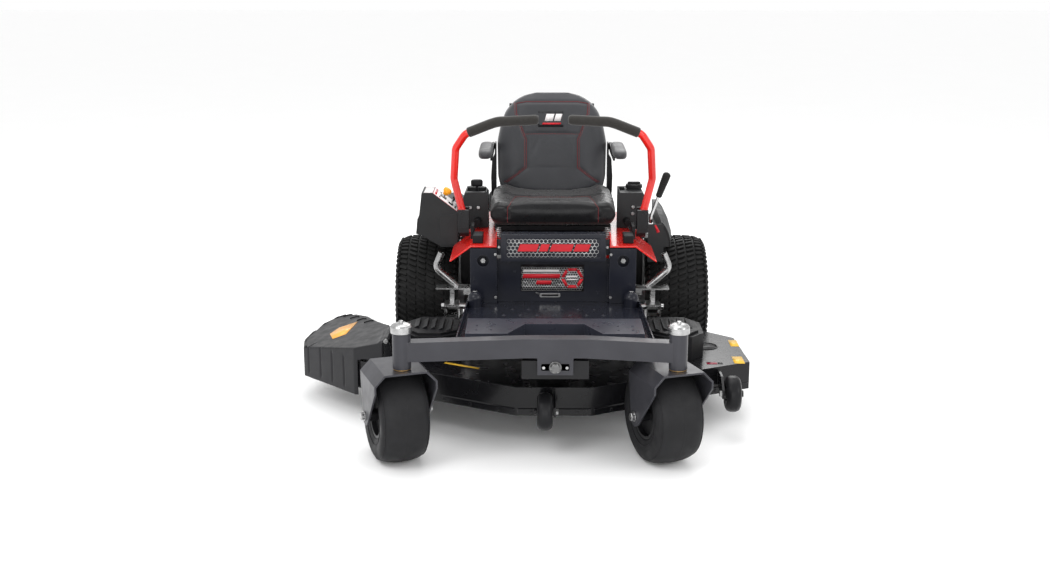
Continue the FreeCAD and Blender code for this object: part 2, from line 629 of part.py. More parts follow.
def rear_rim(side):
    centre = (REAR_WHEEL_X, 0, REAR_TYRE_R)
    r = REAR_RIM_R
    barrel = [(r - 7, -108), (r + 6, -108), (r + 6, -100), (r, -92), (r, 92), (r + 6, 100), (r + 6, 108),
              (r - 7, 108)]
    disc_x = REAR_HUB_X - REAR_WHEEL_X
    disc = [(0, disc_x), (64, disc_x), (80, disc_x + 22), (r - 5, disc_x + 22), (r - 5, disc_x + 28),
            (78, disc_x + 28), (62, disc_x + 6), (0, disc_x + 6)]
    hub = [(0, -112.5), (44, -112.5), (44, disc_x - 12), (62, disc_x - 10), (62, disc_x), (0, disc_x)]
    drum = [(40, -112.5), (78, -104), (78, disc_x + 18), (72, disc_x + 10), (72, -99), (40, -106.5)]
    turned_parts = [lathe(p, centre, (1, 0, 0)) for p in (barrel, disc, hub, drum)]
    shaft = rod(16, (REAR_WHEEL_X - 195, 0, REAR_TYRE_R), (REAR_HUB_X, 0, REAR_TYRE_R))
    nuts = []
    for k in range(5):
        angle = math.radians(72 * k)
        y, z = 44 * math.cos(angle), REAR_TYRE_R + 44 * math.sin(angle)
        nuts.append(hex_head(19, 16, (REAR_HUB_X + 6, y, z), (1, 0, 0)))
    cap = lathe([(0, 0), (22, 0), (20, 14), (0, 18)], (REAR_HUB_X + 6, 0, REAR_TYRE_R), (1, 0, 0))
    wheel = fuse(turned_parts + [shaft, cap] + nuts)
    tyre = lathe(tyre_profile(REAR_TYRE_R, REAR_TYRE_W, REAR_RIM_R, 22.0), centre, (1, 0, 0))
    wheel = wheel.cut(tyre)
    return wheel if side > 0 else mirrored(wheel)


# -------------------------------------------------------------------- deck
DECK_PLAN = [(-130, -1106), (130, -1106), (450, -935), (710, -804), (694, -497), (587, -400),
             (-587, -400), (-694, -497), (-710, -804), (-450, -935)]


def deck_shell():
    shell = shell_prism(DECK_PLAN, "Z", DECK_LIP, DECK_TOP, DECK_WALL, open_low=True)
    discharge = box([-730, -790, DECK_LIP - 5], [-680, -510, DECK_TOP - 14])
    bores = []
    for x, y in spindle_places():
        bores.append(rod(32, (x, y, DECK_TOP - 20), (x, y, DECK_TOP + 5)))
    shell = cut(shell, [discharge] + bores)
    parts = [shell]
    wheel_half = DECK_WHEEL_W / 2.0
    for x, y, from_y in deck_wheel_places():
        gap = wheel_half + 3
        side = -1 if x > 0 else 1
        arm_x = x + side * gap
        low_x, high_x = sorted((arm_x, arm_x + side * 8))
        arm = prism([(from_y + 6, 206), (from_y + 6, 150), (y + 20, 140), (y - 14, 140), (y - 14, 172),
                     (y + 40, 206)], "X", low_x, high_x)
        axle = rod(8, (arm_x + side * 16, y, DECK_WHEEL_AXLE_Z),
                   (x - side * (gap + 4), y, DECK_WHEEL_AXLE_Z))
        head = hex_head(22, 8, (x - side * (gap + 0), y, DECK_WHEEL_AXLE_Z), (-side, 0, 0))
        parts += [arm, axle, head]
    for side in (-1, 1):
        low_x, high_x = sorted((side * 304, side * 314))
        hanger = prism([(-600, DECK_TOP - 2), (-505, DECK_TOP - 2), (-515, 338), (-592, 338), (-600, 300)],
                       "X", low_x, high_x)
        slot = box([low_x - 1, -582, 302], [high_x + 1, -534, 326])
        parts.append(hanger.cut(slot))
    hinge_x, hinge_z = CHUTE_HINGE_XZ
    for y in (-848, -690):
        ear = prism([(hinge_x - 9, DECK_TOP - 2), (hinge_x + 40, DECK_TOP - 2), (hinge_x + 9, hinge_z),
                     (hinge_x - 9, hinge_z)], "Y", y, y + 8)
        parts += [ear, rod(9, (hinge_x, y, hinge_z), (hinge_x, y + 8, hinge_z))]
    hinge_bore = rod(5, (hinge_x, -900, hinge_z), (hinge_x, -600, hinge_z))
    return fuse(parts).cut(hinge_bore)


def spindle_places():
    x, y = SIDE_SPINDLE
    return [(x, y), CENTRE_SPINDLE, (-x, y)]


def deck_wheel_places():
    """Wheel x, wheel y, and the y of the deck's front wall behind it."""
    return [(-33.0, -1177.0, -1106.0), (625.0, -985.0, -862.0), (-560.0, -962.0, -890.0)]


def belt_covers():
    plan = [(330, -600), (338, -750), (400, -795), (500, -795), (548, -740), (548, -600), (500, -545), (385, -545)]
    low, high = DECK_TOP + 0.2, 306.0
    cover = shell_prism(plan, "Z", low, high, 3.0, open_low=True)
    top = [(345, -610), (352, -740), (408, -782), (490, -782), (530, -732), (530, -612), (490, -560), (395, -560)]
    lid = prism(top, "Z", high - 3, high + 9)
    lid = lid.cut(prism(shrunk(top, 3.0), "Z", high - 4, high + 6))
    mouth = box([320, -600, 226], [340, -500, 264])
    belt_gate = box([320, -745, 226], [420, -540, 264])
    front_gate = prism([(300, -700), (300, -820), (470, -820), (470, -780), (395, -740)], "Z", 226, 264)
    cover = cut(cover.fuse(lid).removeSplitter(), [mouth, belt_gate.common(box([320, -746, 226], [336, -540, 264])),
                                                   box([385, -565, 226], [510, -540, 264]), front_gate])
    return group(both_sides(cover))


def spindle_housings():
    housings = []
    for x, y in spindle_places():
        profile = [(SPINDLE_R + RUNNING, 150), (24, 150), (30, 170), (31.8, 200), (31.8, DECK_TOP),
                   (52, DECK_TOP + 0.1), (52, DECK_TOP + 6), (26, DECK_TOP + 12), (26, 228),
                   (SPINDLE_R + RUNNING, 228)]
        housings.append(lathe(profile, (x, y, 0), (0, 0, 1)))
    return group(housings)


def v_pulley(radius, x, y):
    z = BELT_Z
    profile = [(0, z - 10), (radius + 6, z - 10), (radius + 6, z - 8), (radius, z - 5.5), (radius, z + 5.5),
               (radius + 6, z + 8), (radius + 6, z + 10), (0, z + 10)]
    return lathe(profile, (x, y, 0), (0, 0, 1))


def blade_spindle(x, y):
    shaft = rod(SPINDLE_R, (x, y, BLADE_Z[0] - 6), (x, y, BELT_Z + 20))
    nuts = [hex_head(28, 12, (x, y, BLADE_Z[0]), (0, 0, -1)), hex_head(24, 10, (x, y, BELT_Z + 10), (0, 0, 1))]
    hub = rod(20, (x, y, BLADE_Z[1]), (x, y, 149.7))
    spacer = rod(18, (x, y, 228.3), (x, y, BELT_Z - 10))
    half = BLADE_LENGTH / 2.0
    bar = box([x - half, y - 28, BLADE_Z[0]], [x + half, y + 28, BLADE_Z[1]])
    bar = bar.common(rod(half, (x, y, 100), (x, y, 140)))
    sails = []
    for side in (-1, 1):
        near, far = x + side * 130, x + side * (half - 8)
        low_x, high_x = sorted((near, far))
        edge_y = y + side * 28
        lift = [(edge_y, BLADE_Z[0]), (edge_y, BLADE_Z[1]), (edge_y - side * 16, BLADE_Z[1] + 16),
                (edge_y - side * 20, BLADE_Z[1] + 14), (edge_y - side * 14, BLADE_Z[0])]
        sails.append(prism(lift, "X", low_x, high_x).common(rod(half, (x, y, 100), (x, y, 150))))
    return fuse([shaft, hub, spacer, bar, v_pulley(SPINDLE_PULLEY_R, x, y)] + sails + nuts)


def hull_of_discs(circles, grow):
    """The face inside a belt that runs round discs, listed anticlockwise."""
    corners = []
    for (x0, y0, r0), (x1, y1, r1) in zip(circles, circles[1:] + circles[:1]):
        a, b = r0 + grow, r1 + grow
        dx, dy = x1 - x0, y1 - y0
        distance = math.hypot(dx, dy)
        heading = math.atan2(dy, dx)
        lean = math.acos((a - b) / distance)
        normal = heading - lean
        corners.append((x0 + a * math.cos(normal), y0 + a * math.sin(normal)))
        corners.append((x1 + b * math.cos(normal), y1 + b * math.sin(normal)))
    hull = prism(corners, "Z", BELT_Z - 5, BELT_Z + 5)
    discs = [rod(r + grow, (x, y, BELT_Z - 5), (x, y, BELT_Z + 5)) for x, y, r in circles]
    return fuse([hull] + discs)


def deck_belt():
    x, y = SIDE_SPINDLE
    circles = [(CRANK_XY[0], CRANK_XY[1], CRANK_PULLEY_R), (-x, y, SPINDLE_PULLEY_R),
               (CENTRE_SPINDLE[0], CENTRE_SPINDLE[1], SPINDLE_PULLEY_R), (x, y, SPINDLE_PULLEY_R)]
    return hull_of_discs(circles, 12.0).cut(hull_of_discs(circles, 0.3))


def chute_body(grow):
    plan = [(-612, -850), (-722, -812), (-942, -590), (-955, -500), (-938, -400), (-905, -300), (-860, -252),
            (-822, -250), (-775, -290), (-723, -372), (-673, -492), (-640, -560), (-612, -610)]
    points = shrunk(plan, grow) if grow else plan
    block = prism(points, "Z", CHUTE_LIP, 340)
    top_inner, top_outer = 300.0 - grow, 198.0 - grow
    wedge = prism([(-590, top_inner + 4), (-960, top_outer), (-960, 400), (-590, 400)], "Y", -900, -200)
    return block.cut(wedge)


def discharge_chute():
    hinge_x, hinge_z = CHUTE_HINGE_XZ
    inner = chute_body(4.0)
    under = inner.copy()
    under.translate(V(0, 0, -4))
    over_deck = prism([(-716, -810), (-560, -890), (-560, -300), (-716, -300)], "Z", 60, 226)
    mouth_rise = prism([(-970, 80), (-970, 110), (-830, 110), (-718, 104), (-718, 80)], "Y", -540, -200)
    back_rise = prism([(-970, 80), (-970, 168), (-718, 192), (-718, 80)], "Y", -420, -200)
    shell = cut(chute_body(0.0), [inner.fuse(under), over_deck, mouth_rise, back_rise])
    knuckle = rod(11, (hinge_x, -838, hinge_z), (hinge_x, -692, hinge_z))
    leaf = box([hinge_x - 26, -838, hinge_z - 11], [hinge_x, -692, hinge_z - 5])
    bore = rod(5 + RUNNING, (hinge_x, -900, hinge_z), (hinge_x, -600, hinge_z))
    return fuse([shell, knuckle, leaf]).cut(bore)


def chute_hinge_rod():
    x, z = CHUTE_HINGE_XZ
    return fuse([rod(5, (x, -856, z), (x, -674, z)), rod(8, (x, -856, z), (x, -850, z))])


def deck_wheel(x, y):
    half = DECK_WHEEL_W / 2.0
    r = DECK_WHEEL_R
    profile = [(8 + RUNNING, -half), (r - 14, -half), (r - 4, -half + 6), (r, -half + 16), (r, half - 16),
               (r - 4, half - 6), (r - 14, half), (8 + RUNNING, half)]
    return lathe(profile, (x, y, DECK_WHEEL_AXLE_Z), (1, 0, 0))


# ------------------------------------------------------------ lift mechanism
def lift_shaft():
    y, z = LIFT_SHAFT_YZ
    shaft = rod(SPINDLE_R, (-428, y, z), (428, y, z))
    drop = math.radians(LIFT_ARM_DROP)
    tip_y, tip_z = y - LIFT_ARM * math.cos(drop), z - LIFT_ARM * math.sin(drop)
    parts = [shaft]
    for side in (-1, 1):
        low_x, high_x = sorted((side * 290, side * 299))
        arm = prism([(y - 10, z + 20), (y + 18, z + 8), (y + 12, z - 18), (tip_y + 4, tip_z - 11),
                     (tip_y - 10, tip_z - 4), (tip_y - 8, tip_z + 10)], "X", low_x, high_x)
        pin = rod(6, (side * 291, tip_y, tip_z), (side * 322, tip_y, tip_z))
        boss = rod(20, (low_x, y, z), (high_x, y, z))
        parts += [arm, pin, boss]
    return fuse(parts)


def lift_lever():
    y, z = LEVER_PIVOT_YZ
    boss = rod(16, (LEVER_X - 8, y, z), (LEVER_X + 8, y, z))
    bar = bent_bar([(LEVER_X, y, z), (LEVER_X, y, z + 42), (445, y, 800)], 30, 6.5)
    bore = rod(8 + RUNNING, (LEVER_X - 20, y, z), (LEVER_X + 20, y, z))
    return fuse([boss, bar]).cut(bore)


def lift_lever_grip():
    y = LEVER_PIVOT_YZ[0]
    foot, tip = V(LEVER_X, y, LEVER_PIVOT_YZ[1] + 42), V(445, y, 800)
    way = (tip - foot).normalize()
    start = tip - way * 88
    end = tip + way * 16
    grip = rod(15.5, tuple(start), tuple(end))
    grip = rounded(grip, 7)
    return grip.cut(rod(6.5, tuple(start - way * 5), tuple(tip)))


# ------------------------------------------------------------------ lap bars
def lap_bar_bracket(side):
    y, z = LAP_PIVOT_YZ
    swing_x, swing_z = LAP_SWING_XZ
    boss = rod(20, (318, y, z), (352, y, z))
    body = box([318, y - 27, z], [360, y + 27, 662])
    front = box([318, y - 35, 640], [360, y - 27, 708])
    back = box([318, y + 27, 640], [360, y + 35, 708])
    base = box([318, y - 35, 640], [360, y + 35, 662])
    pin = rod(6, (swing_x, y - 41, swing_z), (swing_x, y + 41, swing_z))
    bore = rod(8 + RUNNING, (300, y, z), (370, y, z))
    shape = fuse([boss, body, front, back, base, pin]).cut(bore)
    return shape if side == "left" else mirrored(shape)


LAP_BAR_PATH = [(345, -440, 700), (373, -452, 824), (364, -474, 942), (326, -500, 1000), (215, -500, 1043),
                (64, -500, 1052)]


def lap_bar(side):
    x, z = LAP_SWING_XZ
    y = LAP_PIVOT_YZ[0]
    block = box([x - 13, y - 26.5, z - 18], [x + 13, y + 26.5, z + 18])
    block = rounded(block, 8, along_axis("Y"))
    tube = bent_hose(LAP_BAR_PATH, 42, LAP_TUBE_R, LAP_TUBE_R - 2.4)
    bore = rod(6 + RUNNING, (x, y - 60, z), (x, y + 60, z))
    shape = fuse([tube, block]).cut(bore)
    return shape if side == "left" else mirrored(shape)


def lap_bar_grip(side):
    elbow, bend, end = [V(*p) for p in LAP_BAR_PATH[-3:]]
    start = elbow + (bend - elbow).normalize() * 9
    end = end + (end - bend).normalize() * 9
    grip = bent_bar([tuple(start), tuple(bend), tuple(end)], 60, LAP_GRIP_R)
    tube = bent_bar(LAP_BAR_PATH, 42, LAP_TUBE_R)
    shape = grip.cut(tube)
    return shape if side == "left" else mirrored(shape)


# ---------------------------------------------------------------------- seat
def seat_plate():
    y, z = SEAT_HINGE_YZ
    plate = box([-198, y + 14, z - 3], [198, 40, z + 3])
    knuckles = []
    for x in (-140, 100):
        knuckles.append(rod(11, (x, y, z), (x + 40, y, z)))
        knuckles.append(box([x, y, z - 3], [x + 40, y + 16, z + 3]))
    bore = rod(6 + RUNNING, (-200, y, z), (200, y, z))
    tracks = [box([x - 10, -395, z + 3], [x + 10, 0, z + 12]) for x in (-150, 150)]
    return fuse([plate] + knuckles + tracks).cut(bore)


def seat_shell():
    top = SEAT_HINGE_YZ[1]
    pan = box([-222, -420, top + 16], [222, 40, top + 34])
    runners = []
    for x in (-150, 150):
        runner = box([x - 16, -360, top + 4], [x + 16, -20, top + 17])
        runners.append(runner.cut(box([x - 10.3, -400, top], [x + 10.3, 20, top + 12.3])))
    back = prism([(40, top + 16), (92, top + 16), (140, 1040), (128, 1040), (84, 700), (60, top + 34),
                  (40, top + 34)], "X", -175, 175)
    brackets = []
    for side in (-1, 1):
        strap = [(226, top + 16), (240, top + 37), (247, 700), (248, 760), (243, 830), (232, 848), (232, 895),
                 (226, 895)]
        plate = prism([(side * x, z) for x, z in strap], "Y", -10, 40)
        foot_low, foot_high = sorted((side * 200, side * 232))
        foot = box([foot_low, -14, top + 16], [foot_high, 40, top + 22])
        pin = rod(6, (side * 229, ARMREST_PIVOT_YZ[0], ARMREST_PIVOT_YZ[1]),
                  (side * 262, ARMREST_PIVOT_YZ[0], ARMREST_PIVOT_YZ[1]))
        brackets += [plate, foot, pin]
    return fuse([pan] + runners + [back] + brackets)


def seat_cushion():
    low = SEAT_HINGE_YZ[1] + 34.2
    body = prism([(-455, 660), (-455, 715), (-425, 732), (-30, 722), (-24, low), (-425, low)], "X", -240, 240)
    return rounded(body, 10, along_axis("X"))


def seat_backrest():
    side_view = [(-62, 728), (-20, 1000), (10, 1070), (45, 1094), (78, 1090), (110, 1030), (81, 700), (-22, 734)]
    slab = prism(side_view, "X", -222, 222)
    half = [(205, 690), (222, 760), (224, 900), (211, 955), (191, 1015), (168, 1043), (143, 1065), (110, 1083),
            (70, 1093), (0, 1096)]
    front_view = half + [(-x, z) for x, z in reversed(half[:-1])]
    return slab.common(prism(front_view, "Y", -120, 160))


def armrest(side):
    y, z = ARMREST_PIVOT_YZ
    arm = prism([(y + 14, z - 14), (y + 14, z + 14), (y - 60, z + 12), (-290, z - 2), (-290, z - 12),
                 (y - 50, z - 16)], "X", 234, 242)
    pad = rounded(box([234, -330, z - 8], [286, y - 18, z + 27]), 12)
    boss = rod(15, (234, y, z), (246, y, z))
    bore = rod(6 + RUNNING, (200, y, z), (280, y, z))
    shape = fuse([arm, boss, pad]).cut(bore)
    return shape if side == "left" else mirrored(shape)


# ---------------------------------------------------------------- small hands
def engine_pulley():
    x, y = CRANK_XY
    shaft = rod(SPINDLE_R, (x, y, BELT_Z - 20), (x, y, 438))
    nut = hex_head(24, 8, (x, y, BELT_Z - 10), (0, 0, -1))
    return fuse([shaft, nut, v_pulley(CRANK_PULLEY_R, x, y)])


def pto_knob():
    place, normal = knob_place()
    base = place + normal * 11.0
    stem = rod(5, tuple(place - normal * 24), tuple(base))
    knob = lathe([(0, 0), (9, 0), (11, 6), (17, 12), (17, 22), (12, 28), (0, 30)], tuple(base), tuple(normal))
    return fuse([stem, knob])


def throttle_lever():
    pin = rod(6, (-343, -180, 708), (-257, -180, 708))
    arm = box([-304, -186, 708], [-294, -174, 752])
    knob = rounded(box([-322, -194, 748], [-276, -166, 774]), 5)
    return fuse([pin, arm, knob])


def fuel_cap():
    x, y = FUEL_CAP_XY
    cap = rounded(rod(33, (x, y, 742.3), (x, y, 758)), 4)
    plug = rod(23.5, (x, y, 728), (x, y, 744))
    rib = rounded(box([x - 26, y - 8, 754], [x + 26, y + 8, 767]), 3)
    return fuse([cap, plug, rib])


# ------------------------------------------------------------------ assembly
def build():
    nodes = {
        "main_frame": main_frame(),
        "foot_pan": foot_pan(),
        "step_plate": step_plate(),
        "front_panel": front_panel(),
        "badge_panel": badge_panel(),
        "upper_frame": upper_frame(),
        "fender_right": fender_right(),
        "fender_left": fender_left(),
        "fender_supports": fender_supports(),
        "transaxles": transaxles(),
        "engine_block": engine_block(),
        "engine_shroud": engine_shroud(),
        "muffler": muffler(),
        "engine_guard": engine_guard(),
        "battery": battery(),
        "chassis_bolts": chassis_bolts(),
        "front_axle_beam": front_axle_beam(),
        "caster_bushings": caster_bushings(),
        "caster_caps": caster_caps(),
        "deck_shell": deck_shell(),
        "belt_covers": belt_covers(),
        "spindle_housings": spindle_housings(),
        "deck_belt": deck_belt(),
        "discharge_chute": discharge_chute(),
        "chute_hinge_rod": chute_hinge_rod(),
        "lift_shaft": lift_shaft(),
        "lift_lever": lift_lever(),
        "lift_lever_grip": lift_lever_grip(),
        "seat_plate": seat_plate(),
        "seat_shell": seat_shell(),
        "seat_cushion": seat_cushion(),
        "seat_backrest": seat_backrest(),
        "engine_pulley": engine_pulley(),
        "pto_knob": pto_knob(),
        "throttle_lever": throttle_lever(),
        "fuel_cap": fuel_cap(),
    }
    for side, sign in (("left", 1), ("right", -1)):
        nodes["caster_fork_" + side] = caster_fork(side)
        nodes["caster_tyre_" + side] = caster_tyre(side)
        nodes["caster_rim_" + side] = caster_rim(side)
        nodes["rear_tyre_" + side] = rear_tyre(sign)
        nodes["rear_rim_" + side] = rear_rim(sign)
        nodes["lap_bar_bracket_" + side] = lap_bar_bracket(side)
        nodes["lap_bar_" + side] = lap_bar(side)
        nodes["lap_bar_grip_" + side] = lap_bar_grip(side)
        nodes["armrest_" + side] = armrest(side)
    for name, place in zip(("left", "centre", "right"), spindle_places()):
        nodes["blade_spindle_" + name] = blade_spindle(*place)
    for name, place in zip(("centre", "left", "right"), deck_wheel_places()):
        nodes["deck_wheel_" + name] = deck_wheel(place[0], place[1])
    return nodes


def footprint_shift(nodes):
    """The move that puts the middle of the footprint, on the ground, at the origin."""
    bounds = FreeCAD.BoundBox()
    for shape in nodes.values():
        bounds.add(shape.optimalBoundingBox(False))
    return V(-(bounds.XMin + bounds.XMax) / 2.0, -(bounds.YMin + bounds.YMax) / 2.0, 0.0)


def main():
    os.makedirs("parts", exist_ok=True)
    nodes = build()
    shift = footprint_shift(nodes)
    for name, shape in nodes.items():
        shape.translate(shift)
        shape.exportStep(os.path.join("parts", name + ".step"))
        solids = shape.Solids
        if not shape.isValid() or not solids:
            print("check", name, "valid:", shape.isValid(), "solids:", len(solids))
    print(len(nodes), "nodes, shift", tuple(round(v, 3) for v in shift))


main()
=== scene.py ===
import math

import bmesh
import bpy
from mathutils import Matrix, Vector
from mathutils.bvhtree import BVHTree


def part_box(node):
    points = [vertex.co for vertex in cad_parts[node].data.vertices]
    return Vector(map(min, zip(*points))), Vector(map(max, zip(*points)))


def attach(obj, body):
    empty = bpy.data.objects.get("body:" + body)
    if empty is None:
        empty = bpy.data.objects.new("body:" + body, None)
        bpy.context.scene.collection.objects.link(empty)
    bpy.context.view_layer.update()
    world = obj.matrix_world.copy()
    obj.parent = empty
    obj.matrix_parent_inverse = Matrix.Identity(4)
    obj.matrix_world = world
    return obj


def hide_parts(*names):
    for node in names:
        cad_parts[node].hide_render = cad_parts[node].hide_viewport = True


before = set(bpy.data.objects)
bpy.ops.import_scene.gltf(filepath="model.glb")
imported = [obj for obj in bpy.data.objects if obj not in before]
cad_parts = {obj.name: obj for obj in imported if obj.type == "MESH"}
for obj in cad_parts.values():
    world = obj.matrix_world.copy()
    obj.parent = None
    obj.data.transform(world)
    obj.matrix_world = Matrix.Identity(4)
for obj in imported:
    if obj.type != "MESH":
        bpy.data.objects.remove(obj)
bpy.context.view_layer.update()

# Lengths below are millimetres about the middle of the rear axle at ground
# level: +X is the operator's left, +Y is rearward and +Z is up.
MM = 0.001


def machine_origin():
    left_low, left_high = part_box("rear_tyre_left")
    _, right_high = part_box("rear_tyre_right")
    return Vector(((left_low.x + right_high.x) / 2, (left_low.y + left_high.y) / 2, 0.0))


ORIGIN = machine_origin()


def at(x, y, z):
    return ORIGIN + Vector((x, y, z)) * MM


def span(node):
    """A CAD node's corners in machine millimetres."""
    low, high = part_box(node)
    return (low - ORIGIN) / MM, (high - ORIGIN) / MM


# ---------------------------------------------------------------- materials
class Finish:
    """One procedural material, built around a Principled shader."""

    def __init__(self, name, roughness, metallic=0.0, coat=0.0, coat_roughness=0.1, sheen=0.0,
                 specular=0.2):
        self.material = bpy.data.materials.new(name)
        self.material.use_nodes = True
        self.tree = self.material.node_tree
        self.shader = self.tree.nodes["Principled BSDF"]
        self.set("Roughness", roughness)
        self.set("Metallic", metallic)
        self.set("Coat Weight", coat)
        self.set("Coat Roughness", coat_roughness)
        self.set("Sheen Weight", sheen)
        self.set("Specular IOR Level", specular)
        self.place = self.node("ShaderNodeTexCoord").outputs["Object"]

    def set(self, socket, value):
        self.shader.inputs[socket].default_value = value

    def node(self, kind, **values):
        made = self.tree.nodes.new(kind)
        for key, value in values.items():
            setattr(made, key, value)
        return made

    def wire(self, source, target):
        self.tree.links.new(source, target)

    def stretched(self, scale):
        mapping = self.node("ShaderNodeMapping")
        mapping.inputs["Scale"].default_value = scale
        self.wire(self.place, mapping.inputs["Vector"])
        return mapping.outputs["Vector"]

    def noise(self, scale, detail=3.0, place=None):
        made = self.node("ShaderNodeTexNoise")
        made.inputs["Scale"].default_value = scale
        made.inputs["Detail"].default_value = detail
        self.wire(place or self.place, made.inputs["Vector"])
        return made.outputs["Fac"]

    def cells(self, scale, feature="F1"):
        made = self.node("ShaderNodeTexVoronoi", feature=feature)
        made.inputs["Scale"].default_value = scale
        self.wire(self.place, made.inputs["Vector"])
        return made.outputs["Distance"]

    def ranged(self, value, low, high, new_low=0.0, new_high=1.0):
        made = self.node("ShaderNodeMapRange")
        sockets = ("From Min", "From Max", "To Min", "To Max")
        for socket, number in zip(sockets, (low, high, new_low, new_high)):
            made.inputs[socket].default_value = number
        self.wire(value, made.inputs["Value"])
        return made.outputs["Result"]

    def maths(self, operation, a, b):
        made = self.node("ShaderNodeMath", operation=operation)
        for socket, value in zip(made.inputs, (a, b)):
            if isinstance(value, (int, float)):
                socket.default_value = value
            else:
                self.wire(value, socket)
        return made.outputs[0]

    def blend(self, amount, first, second):
        """Mix two colours; each is a tuple or another node's colour."""
        made = self.node("ShaderNodeMix", data_type="RGBA")
        self.wire(amount, made.inputs[0])
        for socket, value in ((made.inputs[6], first), (made.inputs[7], second)):
            if isinstance(value, tuple):
                socket.default_value = (*value, 1.0)
            else:
                self.wire(value, socket)
        return made.outputs[2]

    def colour(self, value):
        self.wire(value, self.shader.inputs["Base Color"])

    def roughness(self, value):
        self.wire(value, self.shader.inputs["Roughness"])

    def relief(self, heights):
        """Stack bumps given as (height, distance in millimetres)."""
        below = None
        for height, distance in heights:
            bump = self.node("ShaderNodeBump")
            bump.inputs["Strength"].default_value = 1.0
            bump.inputs["Distance"].default_value = distance * MM
            self.wire(height, bump.inputs["Height"])
            if below:
                self.wire(below, bump.inputs["Normal"])
            below = bump.outputs["Normal"]
        self.wire(below, self.shader.inputs["Normal"])

    def edges(self, radius):
        """1 on sharp edges, 0 on open faces."""
        bevel = self.node("ShaderNodeBevel", samples=4)
        bevel.inputs["Radius"].default_value = radius * MM
        geometry = self.node("ShaderNodeNewGeometry")
        product = self.node("ShaderNodeVectorMath", operation="DOT_PRODUCT")
        self.wire(bevel.outputs["Normal"], product.inputs[0])
        self.wire(geometry.outputs["Normal"], product.inputs[1])
        return self.ranged(product.outputs["Value"], 0.995, 0.9)


def tinted(colour, factor):
    return tuple(min(1.0, channel * factor) for channel in colour)


def painted(name, colour, roughness=0.3, coat=0.05, edge=2.2, peel=0.012, metallic=0.0, specular=0.2):
    """Powder coat or gloss paint: orange peel, faint dust, and paler edges: a painted highlight along edges
    with some edge wear.
    """
    finish = Finish(name, roughness, metallic, coat, 0.12, 0.0, specular)
    broad = finish.ranged(finish.noise(7.0), 0.3, 0.7)
    body = finish.blend(broad, tinted(colour, 0.86), tinted(colour, 1.16))
    patchy = finish.ranged(finish.noise(90.0), 0.35, 0.6, 0.25, 1.0)
    # Sharp edges are painted paler: a painted highlight along edges, with some edge wear; edge sets how much
    # paler.
    edge_highlight_and_wear = finish.maths("MULTIPLY", finish.edges(1.2), patchy)
    pale = tuple(min(1.0, channel * edge + 0.02 * edge) for channel in colour)
    finish.colour(finish.blend(edge_highlight_and_wear, body, pale))
    finish.roughness(finish.ranged(finish.noise(22.0), 0.25, 0.75, roughness * 0.82, roughness * 1.2))
    finish.relief([(finish.noise(520.0, 1.0), peel), (finish.noise(60.0, 1.0), peel * 2)])
    return finish.material


def moulded(name, colour, roughness=0.5, grain=0.04, scale=900.0, coat=0.0):
    """Injection-moulded plastic with a fine spark-eroded grain."""
    finish = Finish(name, roughness, 0.0, coat, 0.2, 0.0, 0.15)
    broad = finish.ranged(finish.noise(5.0), 0.3, 0.7)
    body = finish.blend(broad, tinted(colour, 0.88), tinted(colour, 1.12))
    scuffed = finish.ranged(finish.noise(160.0, 4.0), 0.6, 0.8, 0.0, 0.35)
    finish.colour(finish.blend(scuffed, body, tinted(colour, 1.5)))
    finish.roughness(finish.ranged(finish.noise(30.0), 0.3, 0.7, roughness - 0.07, roughness + 0.08))
    finish.relief([(finish.cells(scale), grain), (finish.noise(scale * 1.7, 1.0), grain * 0.5)])
    return finish.material


def rubber(name, colour, roughness=0.62, grain=0.08):
    """Moulded rubber, a little dusty, with fine pits."""
    finish = Finish(name, roughness, specular=0.15)
    dust = finish.ranged(finish.noise(11.0, 5.0), 0.42, 0.72, 0.0, 0.6)
    body = finish.blend(dust, colour, tinted(colour, 1.55))
    specks = finish.ranged(finish.noise(420.0), 0.62, 0.7, 0.0, 0.3)
    finish.colour(finish.blend(specks, body, tinted(colour, 2.1)))
    finish.roughness(finish.ranged(finish.noise(26.0), 0.3, 0.7, roughness - 0.1, roughness + 0.1))
    finish.relief([(finish.noise(650.0, 2.0), grain), (finish.noise(70.0), grain * 2)])
    return finish.material


def plated(name, colour, roughness=0.28, streak=(8.0, 8.0, 180.0), spangle=60.0):
    """Zinc or bright plating: spangle, faint rolling marks, dull spots."""
    finish = Finish(name, roughness, 1.0)
    marks = finish.noise(1.0, 4.0, finish.stretched(streak))
    cloud = finish.ranged(finish.noise(spangle, 4.0), 0.3, 0.7)
    finish.colour(finish.blend(cloud, tinted(colour, 0.78), tinted(colour, 1.08)))
    finish.roughness(finish.ranged(marks, 0.3, 0.7, roughness * 0.75, roughness * 1.35))
    finish.relief([(marks, 0.01), (finish.noise(500.0, 1.0), 0.006)])
    return finish.material


def cast(name, colour, roughness=0.5, metallic=0.8):
    finish = Finish(name, roughness, metallic)
    broad = finish.ranged(finish.noise(18.0), 0.3, 0.7)
    body = finish.blend(broad, tinted(colour, 0.8), tinted(colour, 1.15))
    # Sharp edges are painted lighter: a painted highlight along edges, with some edge wear.
    edge_highlight_and_wear = finish.maths("MULTIPLY", finish.edges(1.0), 0.5)
    finish.colour(finish.blend(edge_highlight_and_wear, body, tinted(colour, 1.6)))
    finish.roughness(finish.ranged(finish.noise(45.0), 0.3, 0.7, roughness - 0.1, roughness + 0.12))
    finish.relief([(finish.cells(480.0), 0.12), (finish.noise(130.0), 0.15)])
    return finish.material


